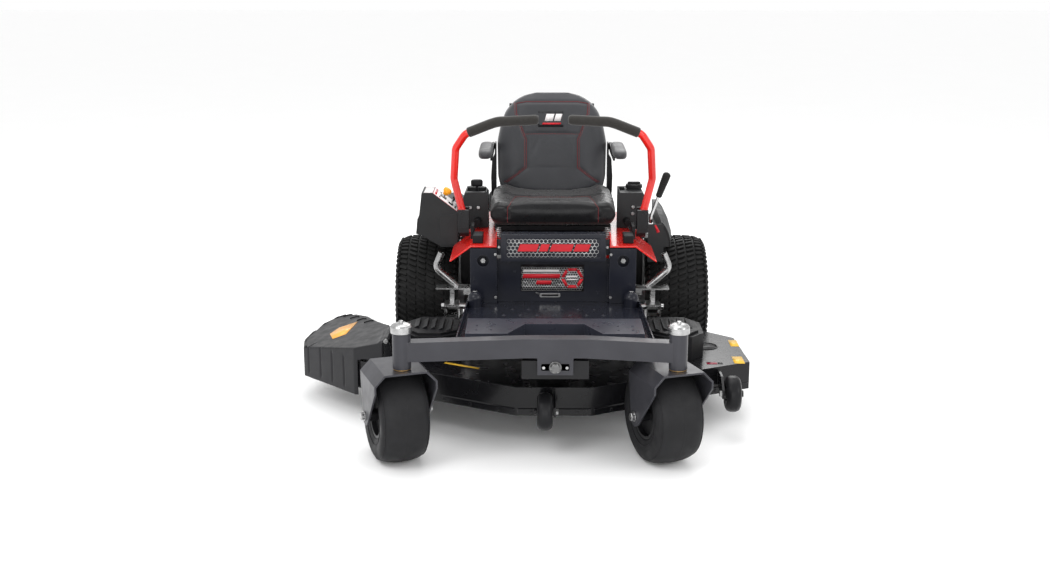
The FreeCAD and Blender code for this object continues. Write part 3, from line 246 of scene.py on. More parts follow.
def vinyl(name, colour, roughness=0.42, grain=0.1, woven=False):
    """Seat covering: pebbled leather grain, or a tight woven cloth."""
    finish = Finish(name, roughness, 0.0, 0.0, 0.1, 0.12, 0.18)
    broad = finish.ranged(finish.noise(6.0), 0.3, 0.7)
    body = finish.blend(broad, tinted(colour, 0.85), tinted(colour, 1.14))
    if woven:
        across = finish.node("ShaderNodeTexWave", wave_type="BANDS", bands_direction="X")
        upward = finish.node("ShaderNodeTexWave", wave_type="BANDS", bands_direction="Z")
        for wave in (across, upward):
            wave.inputs["Scale"].default_value = 190.0
            wave.inputs["Distortion"].default_value = 0.6
            finish.wire(finish.place, wave.inputs["Vector"])
        weave = finish.maths("MULTIPLY", across.outputs["Fac"], upward.outputs["Fac"])
        finish.colour(finish.blend(weave, tinted(colour, 0.7), body))
        finish.relief([(weave, grain), (finish.noise(45.0), 0.3)])
    else:
        pores = finish.ranged(finish.cells(520.0), 0.05, 0.6)
        finish.colour(finish.blend(pores, tinted(colour, 0.72), body))
        finish.relief([(pores, grain), (finish.noise(38.0), 0.5)])
    finish.roughness(finish.ranged(finish.noise(24.0), 0.3, 0.7, roughness - 0.07, roughness + 0.08))
    return finish.material


def foam(name, colour):
    finish = Finish(name, 0.85, 0.0, 0.0, 0.1, 0.25)
    pits = finish.ranged(finish.cells(620.0), 0.1, 0.7)
    finish.colour(finish.blend(pits, tinted(colour, 0.6), tinted(colour, 1.15)))
    finish.roughness(finish.ranged(finish.noise(60.0), 0.3, 0.7, 0.78, 0.95))
    finish.relief([(pits, 0.16), (finish.noise(90.0), 0.3)])
    return finish.material


def printed(name, colour, roughness=0.35):
    """A printed film with slight fading and scuffs."""
    finish = Finish(name, roughness, 0.0, 0.2, 0.15)
    fade = finish.ranged(finish.noise(25.0, 4.0), 0.3, 0.7)
    finish.colour(finish.blend(fade, tinted(colour, 0.88), tinted(colour, 1.06)))
    finish.roughness(finish.ranged(finish.noise(80.0), 0.3, 0.7, roughness - 0.08, roughness + 0.1))
    finish.relief([(finish.noise(300.0, 1.0), 0.01)])
    return finish.material


# In painted rows the fifth value sets the painted edge highlight: how much paler the edges are painted.
RECIPES = {
    "frame_black": (painted, (0.007, 0.007, 0.008), 0.32),
    "panel_navy": (painted, (0.010, 0.011, 0.017), 0.24, 0.1, 4.0),
    "step_grey": (painted, (0.030, 0.032, 0.044), 0.3, 0.06, 3.0),
    "beam_grey": (painted, (0.036, 0.036, 0.042), 0.34, 0.06, 3.0, 0.010, 0.1),
    "red_paint": (painted, (0.60, 0.012, 0.008), 0.2, 0.4, 1.3, 0.008, 0.0, 0.4),
    "deck_black": (painted, (0.006, 0.006, 0.007), 0.25, 0.12, 5.0),
    "rim_black": (painted, (0.008, 0.008, 0.009), 0.35),
    "fender_plastic": (moulded, (0.024, 0.025, 0.026), 0.5, 0.05),
    "black_plastic": (moulded, (0.007, 0.007, 0.008), 0.42, 0.03),
    "chute_plastic": (moulded, (0.020, 0.020, 0.022), 0.4, 0.05, 600.0, 0.05),
    "deck_wheel_plastic": (moulded, (0.009, 0.009, 0.010), 0.35, 0.04),
    "knob_yellow": (moulded, (0.85, 0.34, 0.015), 0.35, 0.02, 900.0, 0.3),
    "tyre_rubber": (rubber, (0.009, 0.009, 0.009)),
    "caster_rubber": (rubber, (0.012, 0.012, 0.013), 0.55, 0.05),
    "grip_rubber": (rubber, (0.012, 0.012, 0.012), 0.6, 0.05),
    "belt_rubber": (rubber, (0.02, 0.02, 0.021), 0.7, 0.05),
    "zinc": (plated, (0.42, 0.42, 0.42)),
    "dark_steel": (plated, (0.14, 0.14, 0.14), 0.36),
    "chrome_rod": (plated, (0.50, 0.50, 0.50), 0.12, (60.0, 60.0, 12.0), 30.0),
    "bare_steel": (plated, (0.36, 0.36, 0.37), 0.38, (90.0, 4.0, 4.0)),
    "muffler_metal": (plated, (0.30, 0.28, 0.26), 0.45, (20.0, 20.0, 20.0), 25.0),
    "bushing_bronze": (plated, (0.55, 0.36, 0.16), 0.35),
    "cast_metal": (cast, (0.32, 0.32, 0.33)),
    "engine_black": (cast, (0.03, 0.03, 0.032), 0.45, 0.3),
    "seat_bolster": (vinyl, (0.038, 0.039, 0.043), 0.42),
    "seat_centre": (vinyl, (0.009, 0.009, 0.010), 0.5, 0.12, True),
    "seat_yoke": (vinyl, (0.012, 0.012, 0.014), 0.36),
    "seat_roll": (vinyl, (0.006, 0.006, 0.007), 0.3, 0.06),
    "piping_red": (vinyl, (0.13, 0.008, 0.012), 0.4, 0.05),
    "thread_red": (vinyl, (0.35, 0.02, 0.02), 0.6, 0.05),
    "armrest_urethane": (vinyl, (0.035, 0.035, 0.038), 0.5, 0.08),
    "grip_foam": (foam, (0.024, 0.022, 0.020)),
    "film_white": (printed, (0.74, 0.70, 0.70)),
    "film_red": (printed, (0.52, 0.012, 0.022)),
    "film_black": (printed, (0.012, 0.011, 0.012)),
    "film_yellow": (printed, (0.80, 0.48, 0.05)),
    "film_amber": (printed, (0.86, 0.42, 0.09)),
    "mesh_silver": (plated, (0.45, 0.45, 0.45), 0.4),
    "lens_red": (printed, (0.22, 0.01, 0.03), 0.15),
}
FINISHES = {name: recipe(name, *values) for name, (recipe, *values) in RECIPES.items()}


# ---------------------------------------------------------------- mesh making
def softened(obj, width, segments=2, angle=32.0, merge=True):
    """Round an object's hard edges with modifiers, and shade it smoothly."""
    if merge:
        weld = obj.modifiers.new("Weld", "WELD")
        weld.merge_threshold = 2e-5
        flat = obj.modifiers.new("Flatten", "DECIMATE")
        flat.decimate_type = "DISSOLVE"
        flat.angle_limit = math.radians(0.6)
    bevel = obj.modifiers.new("Bevel", "BEVEL")
    bevel.width = width * MM
    bevel.segments = segments
    bevel.limit_method = "ANGLE"
    bevel.angle_limit = math.radians(angle)
    bevel.miter_outer = "MITER_ARC"
    weighted = obj.modifiers.new("Shade", "WEIGHTED_NORMAL")
    weighted.keep_sharp = False
    return obj


def apply_modifiers(obj):
    depsgraph = bpy.context.evaluated_depsgraph_get()
    mesh = bpy.data.meshes.new_from_object(obj.evaluated_get(depsgraph))
    obj.modifiers.clear()
    obj.data = mesh
    return obj


def lifted(points, axis, offset):
    if axis == "X":
        return [(offset, a, b) for a, b in points]
    if axis == "Y":
        return [(a, offset, b) for a, b in points]
    return [(a, b, offset) for a, b in points]


def ring(centre, normal, radius, sides, start=0.0):
    """Points of a circle about a centre, square to a direction."""
    normal = Vector(normal).normalized()
    aside = normal.orthogonal().normalized()
    other = normal.cross(aside)
    points = []
    for k in range(sides):
        angle = start + 2 * math.pi * k / sides
        points.append(Vector(centre) + (aside * math.cos(angle) + other * math.sin(angle)) * radius)
    return points


def smooth_path(points, steps=8):
    """A Catmull-Rom curve through points."""
    pts = [Vector(p) for p in points]
    ends = [pts[0] * 2 - pts[1]] + pts + [pts[-1] * 2 - pts[-2]]
    line = []
    for a, b, c, d in zip(ends, ends[1:], ends[2:], ends[3:]):
        for k in range(steps):
            t = k / steps
            line.append(0.5 * (2 * b + (c - a) * t + (2 * a - 5 * b + 4 * c - d) * t * t
                               + (3 * b - a - 3 * c + d) * t ** 3))
    return line + [pts[-1]]


def rounded_outline(points, radius, steps=5):
    """A closed 2-D outline with its corners turned into arcs."""
    out = []
    count = len(points)
    for k in range(count):
        before, corner, after = (Vector(points[(k + j) % count]) for j in (-1, 0, 1))
        back, ahead = before - corner, after - corner
        half = back.angle(ahead) / 2.0
        reach = min(radius / math.tan(half), 0.45 * back.length, 0.45 * ahead.length)
        size = reach * math.tan(half)
        centre = corner + (back.normalized() + ahead.normalized()).normalized() * (size / math.sin(half))
        first = corner + back.normalized() * reach - centre
        last = corner + ahead.normalized() * reach - centre
        turn = first.angle_signed(last)
        for j in range(steps + 1):
            angle = -turn * j / steps
            x = first.x * math.cos(angle) - first.y * math.sin(angle)
            y = first.x * math.sin(angle) + first.y * math.cos(angle)
            out.append((centre.x + x, centre.y + y))
    return out


class Piece:
    """Gathers faces in machine millimetres, then becomes one object on a body."""

    def __init__(self, name):
        self.name = name
        self.points = []
        self.faces = []
        self.looks = []
        self.finishes = []
        self.now = 0

    def use(self, finish):
        if finish not in self.finishes:
            self.finishes.append(finish)
        self.now = self.finishes.index(finish)
        return self

    def add(self, points, faces):
        base = len(self.points)
        self.points += [Vector(p) for p in points]
        for face in faces:
            self.faces.append([base + k for k in face])
            self.looks.append(self.now)
        return self

    def loft(self, rings, caps=True, loop=False):
        count = len(rings[0])
        points = [p for one in rings for p in one]
        faces = []
        pairs = len(rings) if loop else len(rings) - 1
        for r in range(pairs):
            a, b = r * count, ((r + 1) % len(rings)) * count
            for k in range(count):
                n = (k + 1) % count
                faces.append((a + k, a + n, b + n, b + k))
        if caps and not loop:
            faces.append(tuple(range(count)))
            faces.append(tuple(reversed([(len(rings) - 1) * count + k for k in range(count)])))
        return self.add(points, faces)

    def prism(self, outline, axis, low, high):
        return self.loft([lifted(outline, axis, low), lifted(outline, axis, high)])

    def box(self, low, high):
        outline = [(low[0], low[1]), (high[0], low[1]), (high[0], high[1]), (low[0], high[1])]
        return self.prism(outline, "Z", low[2], high[2])

    def lathe(self, profile, centre, axis, sides=48, whole=True):
        """Turn a closed profile of (radius, distance along) points about an axis."""
        way = Vector(axis).normalized()
        rings = []
        for radius, along in profile:
            rings.append(ring(Vector(centre) + way * along, way, max(radius, 0.01), sides))
        return self.loft(rings, caps=not whole, loop=whole)

    def rod(self, radius, start, end, sides=24, bevel=0.0):
        start, end = Vector(start), Vector(end)
        way = (end - start).normalized()
        if not bevel:
            return self.loft([ring(start, way, radius, sides), ring(end, way, radius, sides)])
        narrow = radius - bevel
        return self.loft([ring(start, way, narrow, sides), ring(start + way * bevel, way, radius, sides),
                          ring(end - way * bevel, way, radius, sides), ring(end, way, narrow, sides)])

    def tube(self, path, radius, sides=12, closed=False):
        """Sweep a circle along a path with no twist; radius may be a function of 0..1."""
        path = [Vector(p) for p in path]
        count = len(path)
        rings = []
        aside = None
        for k, point in enumerate(path):
            if closed:
                way = path[(k + 1) % count] - path[k - 1]
            else:
                way = path[min(k + 1, count - 1)] - path[max(k - 1, 0)]
            way.normalize()
            if aside is None:
                aside = way.orthogonal().normalized()
            else:
                aside = (aside - way * aside.dot(way)).normalized()
            other = way.cross(aside)
            size = radius(k / (count - 1)) if callable(radius) else radius
            rings.append([point + (aside * math.cos(2 * math.pi * j / sides)
                                   + other * math.sin(2 * math.pi * j / sides)) * size for j in range(sides)])
        return self.loft(rings, loop=closed)

    def hexagon(self, across, height, base, axis):
        way = Vector(axis).normalized()
        corner = across / math.sqrt(3.0)
        base = Vector(base)
        return self.loft([ring(base, way, corner, 6), ring(base + way * height * 0.85, way, corner, 6),
                          ring(base + way * height, way, corner * 0.88, 6)])

    def mirror(self):
        """Add the mirror image in X of everything so far."""
        count = len(self.points)
        looks = list(self.looks)
        faces = list(self.faces)
        self.points += [Vector((-p.x, p.y, p.z)) for p in self.points]
        for face, look in zip(faces, looks):
            self.faces.append([count + k for k in reversed(face)])
            self.looks.append(look)
        return self

    def make(self, body, slot=None, bevel=0.0, segments=2, angle=32.0, replaces=()):
        mesh = bpy.data.meshes.new(self.name)
        mesh.from_pydata([at(*p) for p in self.points], [], self.faces)
        for finish in self.finishes:
            mesh.materials.append(FINISHES[finish])
        mesh.polygons.foreach_set("material_index", self.looks)
        work = bmesh.new()
        work.from_mesh(mesh)
        bmesh.ops.remove_doubles(work, verts=work.verts, dist=1e-6)
        bmesh.ops.recalc_face_normals(work, faces=work.faces)
        work.to_mesh(mesh)
        work.free()
        for polygon in mesh.polygons:
            polygon.use_smooth = True
        obj = bpy.data.objects.new(self.name, mesh)
        bpy.context.scene.collection.objects.link(obj)
        if bevel:
            softened(obj, bevel, segments, angle, merge=False)
        return settle(obj, body, replaces)


def settle(obj, body, replaces=()):
    if replaces:
        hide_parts(*replaces)
    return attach(obj, body)


def eased(value, low, high):
    """0 below low, 1 above high, and a smooth step between."""
    t = min(1.0, max(0.0, (value - low) / (high - low)))
    return t * t * (3 - 2 * t)


def along(table, value):
    """Read a table of (key, value) points, with straight lines between."""
    for (a, first), (b, second) in zip(table, table[1:]):
        if value <= b:
            share = min(1.0, max(0.0, (value - a) / (b - a)))
            return first + (second - first) * share
    return table[-1][1]


# ---------------------------------------------------------------- CAD nodes
EDGE_WIDTHS = {
    "frame_black": 1.2, "panel_navy": 1.2, "step_grey": 1.2, "beam_grey": 1.4, "red_paint": 1.0,
    "deck_black": 1.2, "rim_black": 1.0, "fender_plastic": 1.6, "black_plastic": 1.2, "zinc": 0.6,
    "chrome_rod": 0.5, "bare_steel": 0.6, "cast_metal": 1.0, "muffler_metal": 0.8,
}
NODE_FINISHES = {"engine_shroud": "engine_black", "battery": "black_plastic"}


def dress_cad_nodes():
    for name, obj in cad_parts.items():
        if obj.hide_render:
            continue
        slot = obj.data.materials[0].name.split(".")[0]
        finish = NODE_FINISHES.get(name, slot)
        obj.data.materials[0] = FINISHES[finish]
        for polygon in obj.data.polygons:
            polygon.use_smooth = True
        if slot in EDGE_WIDTHS:
            softened(obj, EDGE_WIDTHS[slot])


# -------------------------------------------------------------------- tyres
REAR_CROWN = [(0, 254), (32, 254), (76, 251.8), (106, 244), (123, 223), (127, 190)]
LUG_ROWS = 60
LUG_COLUMNS = 6
LUG_DEPTH = 9.0
LUG_REACH = 112.0
LUG_TAPER = 0.93
LUG_OUTLINE = [(0.0, 0.0), (0.5, 0.10), (1.0, 0.30), (1.0, 1.0), (0.5, 0.80), (0.0, 0.70)]
REAR_RIM_R = 101.6


def rear_tyre(side):
    """A turf tyre: a smooth carcass under rows of slanted lugs."""
    sign = 1 if side == "left" else -1
    low, high = span("rear_tyre_" + side)
    middle = (low + high) / 2
    centre = (middle.x, middle.y, middle.z)
    tyre = Piece("rear_tyre_" + side + "_tread").use("tyre_rubber")
    half = (high.x - low.x) / 2
    carcass = smooth_path([(REAR_RIM_R, 84, 0), (REAR_RIM_R + 6, 100, 0), (REAR_RIM_R + 16, 109, 0),
                           (150, 122, 0), (185, half - 1, 0), (212, 123, 0), (228, LUG_REACH, 0),
                           (240, 92, 0), (244.5, 60, 0), (245, 20, 0)], 4)
    outer = [(p.x, p.y) for p in carcass]
    profile = outer + [(r, -x) for r, x in reversed(outer)]
    inner = [(REAR_RIM_R, -60), (226, -70), (226, 70), (REAR_RIM_R, 60)]
    tyre.lathe(profile + inner, centre, (1, 0, 0), 96)
    for ring_r in (118, 196):
        edge = along([(r, x) for r, x in outer], ring_r)
        for end in (-1, 1):
            start = Vector(centre) + Vector((end * edge, 0, 0))
            tyre.tube(ring(start, (1, 0, 0), ring_r, 96), 1.8, 6, closed=True)
    pitch = 2 * math.pi / LUG_ROWS
    column = 2 * LUG_REACH / LUG_COLUMNS
    slant = 0.42 * pitch * sign
    for row in range(LUG_ROWS):
        for c in range(LUG_COLUMNS):
            x0 = -LUG_REACH + c * column + 3.2
            x1 = x0 + column - 6.4
            offset = (0.5 if c % 2 else 0.0) * pitch
            base, top = [], []
            for s, t in LUG_OUTLINE:
                x = x0 + (x1 - x0) * s
                angle = row * pitch + offset + slant * s * 1.2 + pitch * 0.70 * (t - 0.35 * s)
                crown = along(REAR_CROWN, abs(x))
                xt = (x0 + x1) / 2 + (x - (x0 + x1) / 2) * LUG_TAPER
                base.append(lug_point(centre, x, angle, crown - LUG_DEPTH - 2))
                top.append(lug_point(centre, xt, angle, crown))
            tyre.loft([base, top])
    for row in range(LUG_ROWS):
        for end in (-1, 1):
            angle = (row + 0.5 * ((end > 0) == (sign > 0))) * pitch
            base, top = [], []
            for x, radius, turn in ((112, 242, 0.0), (124, 222, 0.05), (124, 222, 0.55), (112, 242, 0.62)):
                base.append(lug_point(centre, end * (x - 6), angle + turn * pitch, radius - 6))
                top.append(lug_point(centre, end * (x + 2.2), angle + turn * pitch, radius + 0.5))
            tyre.loft([base, top])
    tyre.make("rear_wheel_" + side, "tyre_rubber", 0.9, 1, 40.0, ["rear_tyre_" + side])


def lug_point(centre, x, angle, radius):
    return Vector(centre) + Vector((x, -radius * math.cos(angle), radius * math.sin(angle)))


CASTER_REST_TURN = math.radians(20.0)


def caster_frame(side):
    """The wheel's centre, the axle's direction and the way the caster trails."""
    low, high = span("caster_tyre_" + side)
    middle = (low + high) / 2
    trail = Vector((-math.sin(CASTER_REST_TURN), math.cos(CASTER_REST_TURN), 0))
    axle = Vector((math.cos(CASTER_REST_TURN), math.sin(CASTER_REST_TURN), 0))
    return middle, axle, trail


def caster_tyre(side):
    centre, axle, trail = caster_frame(side)
    tyre = Piece("caster_tyre_" + side + "_rubber").use("caster_rubber")
    section = smooth_path([(76, 58, 0), (80, 70, 0), (90, 76, 0), (112, 81, 0), (132, 82, 0), (146, 76, 0),
                           (156, 62, 0), (162, 40, 0), (164.6, 16, 0), (165, 1.6, 0)], 5)
    outer = [(p.x, p.y) for p in section]
    profile = outer + [(165.6, 0.0)] + [(r, -x) for r, x in reversed(outer)]
    tyre.lathe(profile + [(76, -44), (140, -60), (140, 60), (76, 44)], centre, axle, 96)
    for radius, offset in ((100, 79.4), (150, 72.6)):
        for end in (-1, 1):
            tyre.tube(ring(centre + axle * end * offset, axle, radius, 96), 1.5, 6, closed=True)
    tyre.make("caster_wheel_" + side, "tyre_rubber", replaces=["caster_tyre_" + side])
    valve = Piece("caster_valve_" + side).use("black_plastic")
    foot = centre + axle * -54 + trail * 52
    valve.rod(4, foot, foot - axle * 26 + trail * 4, 12, 1.0)
    valve.make("caster_wheel_" + side, "black_plastic")
    ends = Piece("caster_axle_hardware_" + side).use("zinc")
    for end in (-1, 1):
        way = axle * end
        ends.rod(17, centre + way * 105.2, centre + way * 109, 32, 0.6)
        ends.hexagon(25, 11, centre + way * 109, way)
    ends.rod(8.4, centre + axle * 118, centre + axle * 127, 20, 1.0)
    ends.make("caster_" + side, "zinc", 0.4)


def deck_wheel(name):
    low, high = span("deck_wheel_" + name)
    centre = (low + high) / 2
    half = (high.x - low.x) / 2
    radius = (high.z - low.z) / 2
    wheel = Piece("deck_wheel_" + name + "_moulded").use("deck_wheel_plastic")
    section = smooth_path([(26, half - 3, 0), (40, half - 1, 0), (radius - 16, half, 0),
                           (radius - 6, half - 5, 0), (radius - 1, half - 14, 0), (radius, 4, 0)], 5)
    outer = [(p.x, p.y) for p in section]
    hub = [(8.4, half - 1), (18, half - 1), (20, half - 8), (24, half - 9)]
    profile = hub + outer + [(r, -x) for r, x in reversed(hub + outer)]
    wheel.lathe(profile, centre, (1, 0, 0), 64)
    wheel.make("deck_wheel_" + name, "deck_wheel_plastic", replaces=["deck_wheel_" + name])


# --------------------------------------------------------------------- seat
BACK_FRONT = [(690, -66), (728, -66), (800, -48), (1000, -20), (1060, 4), (1096, 34)]
BACK_REAR = [(690, 80), (720, 84), (1030, 108), (1075, 96), (1096, 60)]
BACK_HALF = [(690, 194), (716, 210), (760, 220), (900, 222), (955, 211), (1015, 190), (1043, 168),
             (1065, 143), (1083, 108), (1093, 72), (1096, 50)]
BACK_SEAM = [(0, 1060), (104, 1060), (146, 1052), (143, 1016), (112, 932), (104, 914), (104, 800), (150, 766),
             (186, 740), (160, 712), (0, 700)]
YOKE_LEVEL = 926.0
CUSHION_SIDE = [(-452, 656), (-455, 716), (-425, 730), (-230, 716), (-30, 716), (-24, 640), (-425, 640)]
CUSHION_HALF = 238.0
ROLL_SEAM_Y = -262.0


def edge_distance(point, outline, closed=True):
    """Signed distance from a 2-D point to an outline, negative inside it."""
    x, y = point
    nearest = 1e9
    inside = False
    following = outline[1:] + outline[:1] if closed else outline[1:]
    for (ax, ay), (bx, by) in zip(outline, following):
        dx, dy = bx - ax, by - ay
        share = max(0.0, min(1.0, ((x - ax) * dx + (y - ay) * dy) / (dx * dx + dy * dy)))
        nearest = min(nearest, math.hypot(x - ax - share * dx, y - ay - share * dy))
        if (ay > y) != (by > y) and x < ax + (y - ay) / (by - ay) * dx:
            inside = not inside
    return -nearest if inside and closed else nearest


def back_seam_distance(p):
    """Distance to the nearest seam of the backrest's front, and which panel p is in."""
    place = (abs(p.x), p.z)
    side = edge_distance(place, BACK_SEAM)
    yoke = abs(p.z - YOKE_LEVEL - 8) if side < 0 and p.z > YOKE_LEVEL - 40 else 1e9
    return min(edge_distance(place, BACK_SEAM, False), yoke), side


def backrest_form():
    form = Piece("seat_backrest_cover")
    rings = []
    levels = 34
    for k in range(levels + 1):
        z = 694 + (1094 - 694) * k / levels
        half = along(BACK_HALF, z)
        front = along(BACK_FRONT, z)
        rear = along(BACK_REAR, z)
        crown = math.sqrt(max(0.04, 1 - max(0.0, (z - 1040) / 58) ** 2))
        middle = (front + rear) / 2 + 8
        slice_points = []
        for j in range(64):
            angle = 2 * math.pi * j / 64
            c, s = math.cos(angle), math.sin(angle)
            x = half * math.copysign(abs(c) ** 0.55, c)
            depth = abs(s) ** 0.55
            if s < 0:
                bolster = 16 * eased(abs(x), 110, 175) * eased(z, 700, 780) * (1 - eased(z, 960, 1050))
                dish = 12 * (1 - eased(abs(x), 40, 120)) * eased(z, 780, 860) * (1 - eased(z, 960, 1040))
                lumbar = 10 * (1 - eased(abs(x), 60, 160)) * (1 - eased(z, 700, 800))
                y = middle - (middle - front + bolster - dish + lumbar) * depth * crown
            else:
                y = middle + (rear - middle) * depth * crown
            slice_points.append((x, y, z))
        rings.append(slice_points)
    return form.loft(rings)


def cushion_form():
    form = Piece("seat_cushion_cover")
    outline = rounded_outline(CUSHION_SIDE, 26.0, 6)
    rings = []
    stations = 44
    for k in range(stations + 1):
        x = -CUSHION_HALF + 2 * CUSHION_HALF * k / stations
        edge = max(0.0, (abs(x) / CUSHION_HALF - 0.86) / 0.14)
        scale = math.sqrt(max(0.10, 1 - edge ** 2 * 0.95))
        slice_points = []
        for y, z in outline:
            up = max(0.0, (z - 690) / 30)
            bolster = 18 * eased(abs(x), 140, 205) * eased(y, -430, -330) * up
            dish = 8 * (1 - eased(abs(x), 60, 150)) * eased(y, -300, -180) * up
            roll = 5 * (1 - eased(abs(x), 90, 170)) * (1 - eased(y, -380, -300)) * up
            pull = 12 * eased(abs(x), 160, 238) * (1 - eased(y, -455, -400))
            zz = 684 + (z - 684) * scale + bolster - dish + roll
            yy = -240 + (y - (-240)) * (0.94 + 0.06 * scale) + pull
            slice_points.append((x, yy, zz))
        rings.append(slice_points)
    return form.loft(rings)


def cushion_half_width(y):
    """Where the cushion's centre panel ends, from its back seam round the roll."""
    return along([(-455, 172), (-430, 160), (-262, 148)], y)


def cushion_seam_distance(p):
    on_roll = p.y < ROLL_SEAM_Y
    side = abs(p.x) - cushion_half_width(p.y)
    if on_roll and side < 0:
        return min(-side, ROLL_SEAM_Y - p.y), max(side, p.y - ROLL_SEAM_Y)
    if side < 0:
        return p.y - ROLL_SEAM_Y, p.y - ROLL_SEAM_Y
    return (side, side) if on_roll else (math.hypot(side, p.y - ROLL_SEAM_Y), side)


def machine_point(world):
    return (world - ORIGIN) / MM


def upholstered(form, distance_of, shows, panel_of, body, pressure, cap, replaced):
    """Remesh a form, blow it up between its pinned seams, sink the seams and colour the panels."""
    obj = form.make(body, "seat_vinyl", replaces=[replaced])
    obj.parent = None
    remesh = obj.modifiers.new("Remesh", "REMESH")
    remesh.mode = "VOXEL"
    remesh.voxel_size = 0.006
    apply_modifiers(obj)
    mesh = obj.data
    places = [machine_point(v.co) for v in mesh.vertices]
    facts = [distance_of(p) for p in places]
    shown = [shows(p, v.normal) for p, v in zip(places, mesh.vertices)]
    pins = obj.vertex_groups.new(name="pins")
    for v, (near, _), open_side in zip(mesh.vertices, facts, shown):
        held = 1.0 if not open_side else 1.0 - eased(near, 3.0, 9.0)
        pins.add([v.index], max(held, 0.0), "REPLACE")
    inflate(obj, pressure, cap)
    mesh = obj.data
    for v, (near, _), open_side in zip(mesh.vertices, facts, shown):
        if open_side:
            v.co -= v.normal * (4.0 * math.exp(-(near / 6.0) ** 2)) * MM
    smooth = obj.modifiers.new("Fine", "SUBSURF")
    smooth.levels = 1
    smooth.render_levels = 1
    apply_modifiers(obj)
    names = []
    for polygon in obj.data.polygons:
        p = machine_point(polygon.center)
        finish = panel_of(p, shows(p, polygon.normal))
        if finish not in names:
            names.append(finish)
        polygon.material_index = names.index(finish)
        polygon.use_smooth = True
    obj.data.materials.clear()
    for finish in names:
        obj.data.materials.append(FINISHES[finish])
    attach(obj, body)
    return obj


def inflate(obj, pressure, cap):
    """Cloth under pressure for 20 frames, with every point's travel capped."""
    scene = bpy.context.scene
    rest = [v.co.copy() for v in obj.data.vertices]
    cloth = obj.modifiers.new("Cloth", "CLOTH")
    cloth.settings.quality = 4
    cloth.settings.use_pressure = True
    cloth.settings.uniform_pressure_force = pressure
    cloth.settings.vertex_group_mass = "pins"
    cloth.settings.effector_weights.gravity = 0.0
    cloth.settings.tension_stiffness = 12.0
    cloth.settings.compression_stiffness = 12.0
    cloth.settings.bending_stiffness = 0.4
    for number in range(1, 21):
        scene.frame_set(number)
    apply_modifiers(obj)
    for v, start in zip(obj.data.vertices, rest):
        travel = v.co - start
        if travel.length > cap * MM:
            v.co = start + travel.normalized() * cap * MM
    scene.frame_set(1)


def surface_of(obj):
    mesh = obj.data
    corners = [v.co.copy() for v in mesh.vertices]
    return BVHTree.FromPolygons(corners, [tuple(p.vertices) for p in mesh.polygons])


def laid_on(tree, points, direction, lift):
    """Drop machine-frame points onto a surface along a direction, then lift them off it."""
    line = []
    way = Vector(direction).normalized()
    for p in points:
        hit, normal, _, _ = tree.ray_cast(at(*p) - way * 3.0, way)
        if hit is not None:
            if normal.dot(way) > 0:
                normal = -normal
            line.append(machine_point(hit + normal * lift * MM))
    return line


def stitches(piece, line, pitch=7.0, length=4.2):
    """Short thread capsules along a line."""
    travel = 0.0
    for a, b in zip(line, line[1:]):
        step = (b - a).length
        if step < 1e-6:
            continue
        while travel < step:
            start = a + (b - a) * (travel / step)
            end = start + (b - a).normalized() * length
            piece.tube([start, start.lerp(end, 0.5), end], lambda t: 0.35 + 0.5 * (1 - abs(2 * t - 1)), 5)
            travel += pitch
        travel -= step
    return piece


def dense(points, gap=6.0):
    """More points on straight runs, about a gap apart."""
    out = []
    pts = [Vector(p) for p in points]
    for a, b in zip(pts, pts[1:]):
        count = max(1, int((b - a).length / gap))
        out += [a.lerp(b, k / count) for k in range(count)]
    return out + [pts[-1]]


def seat():
    def back_open(p, normal):
        return normal.y < -0.15 and p.z > 700

    def back_panel(p, open_side):
        if not open_side and p.y > 40:
            return "black_plastic"
        _, side = back_seam_distance(p)
        if side > 0 or not open_side:
            return "seat_bolster"
        return "seat_yoke" if p.z > YOKE_LEVEL + 8 else "seat_centre"

    def cushion_open(p, normal):
        return normal.z > -0.1 and p.z > 660

    def cushion_panel(p, open_side):
        _, side = cushion_seam_distance(p)
        return "seat_roll" if side < 0 and p.y < ROLL_SEAM_Y else "seat_bolster"

    pressure, cap = 3.0, 9.0
    back = upholstered(backrest_form(), back_seam_distance, back_open, back_panel, "seat", pressure, cap,
                       "seat_backrest")
    cushion = upholstered(cushion_form(), cushion_seam_distance, cushion_open, cushion_panel, "seat",
                          pressure, cap, "seat_cushion")
    piping = Piece("seat_piping").use("piping_red")
    thread = Piece("seat_stitching").use("thread_red")
    back_tree, cushion_tree = surface_of(back), surface_of(cushion)
    seam = [(x, 0, z) for x, z in BACK_SEAM[:9]]
    for sign in (-1, 1):
        path = dense([(sign * x, y, z) for x, y, z in seam])
        line = laid_on(back_tree, path, (0, 1, 0), 0.6)
        piping.tube(line, 1.3, 8)
        aside = dense([(sign * (x + 7), y, z + 2) for x, y, z in seam[2:]])
        stitches(thread, laid_on(back_tree, aside, (0, 1, 0), 0.2))
        round_roll = [(sign * cushion_half_width(y), y, 0) for y in range(-262, -446, -8)]
        line = laid_on(cushion_tree, round_roll, (0, 0, -1), 0.6)
        down = [(sign * 172, 0, z) for z in range(712, 652, -8)]
        line += laid_on(cushion_tree, down, (0, 1, 0), 0.6)
        piping.tube(line, 1.3, 8)
    across = dense([(-148, ROLL_SEAM_Y, 0), (148, ROLL_SEAM_Y, 0)])
    piping.tube(laid_on(cushion_tree, across, (0, 0, -1), 0.3), 0.9, 8)
    yoke = dense([(-112, 0, YOKE_LEVEL + 8), (112, 0, YOKE_LEVEL + 8)])
    stitches(thread, laid_on(back_tree, yoke, (0, 1, 0), 0.2))
    stitches(thread, laid_on(cushion_tree, [p + Vector((0, 9, 0)) for p in across], (0, 0, -1), 0.2))
    piping.make("seat", "seat_vinyl")
    thread.make("seat", "seat_vinyl")
    back_emblem(back_tree)


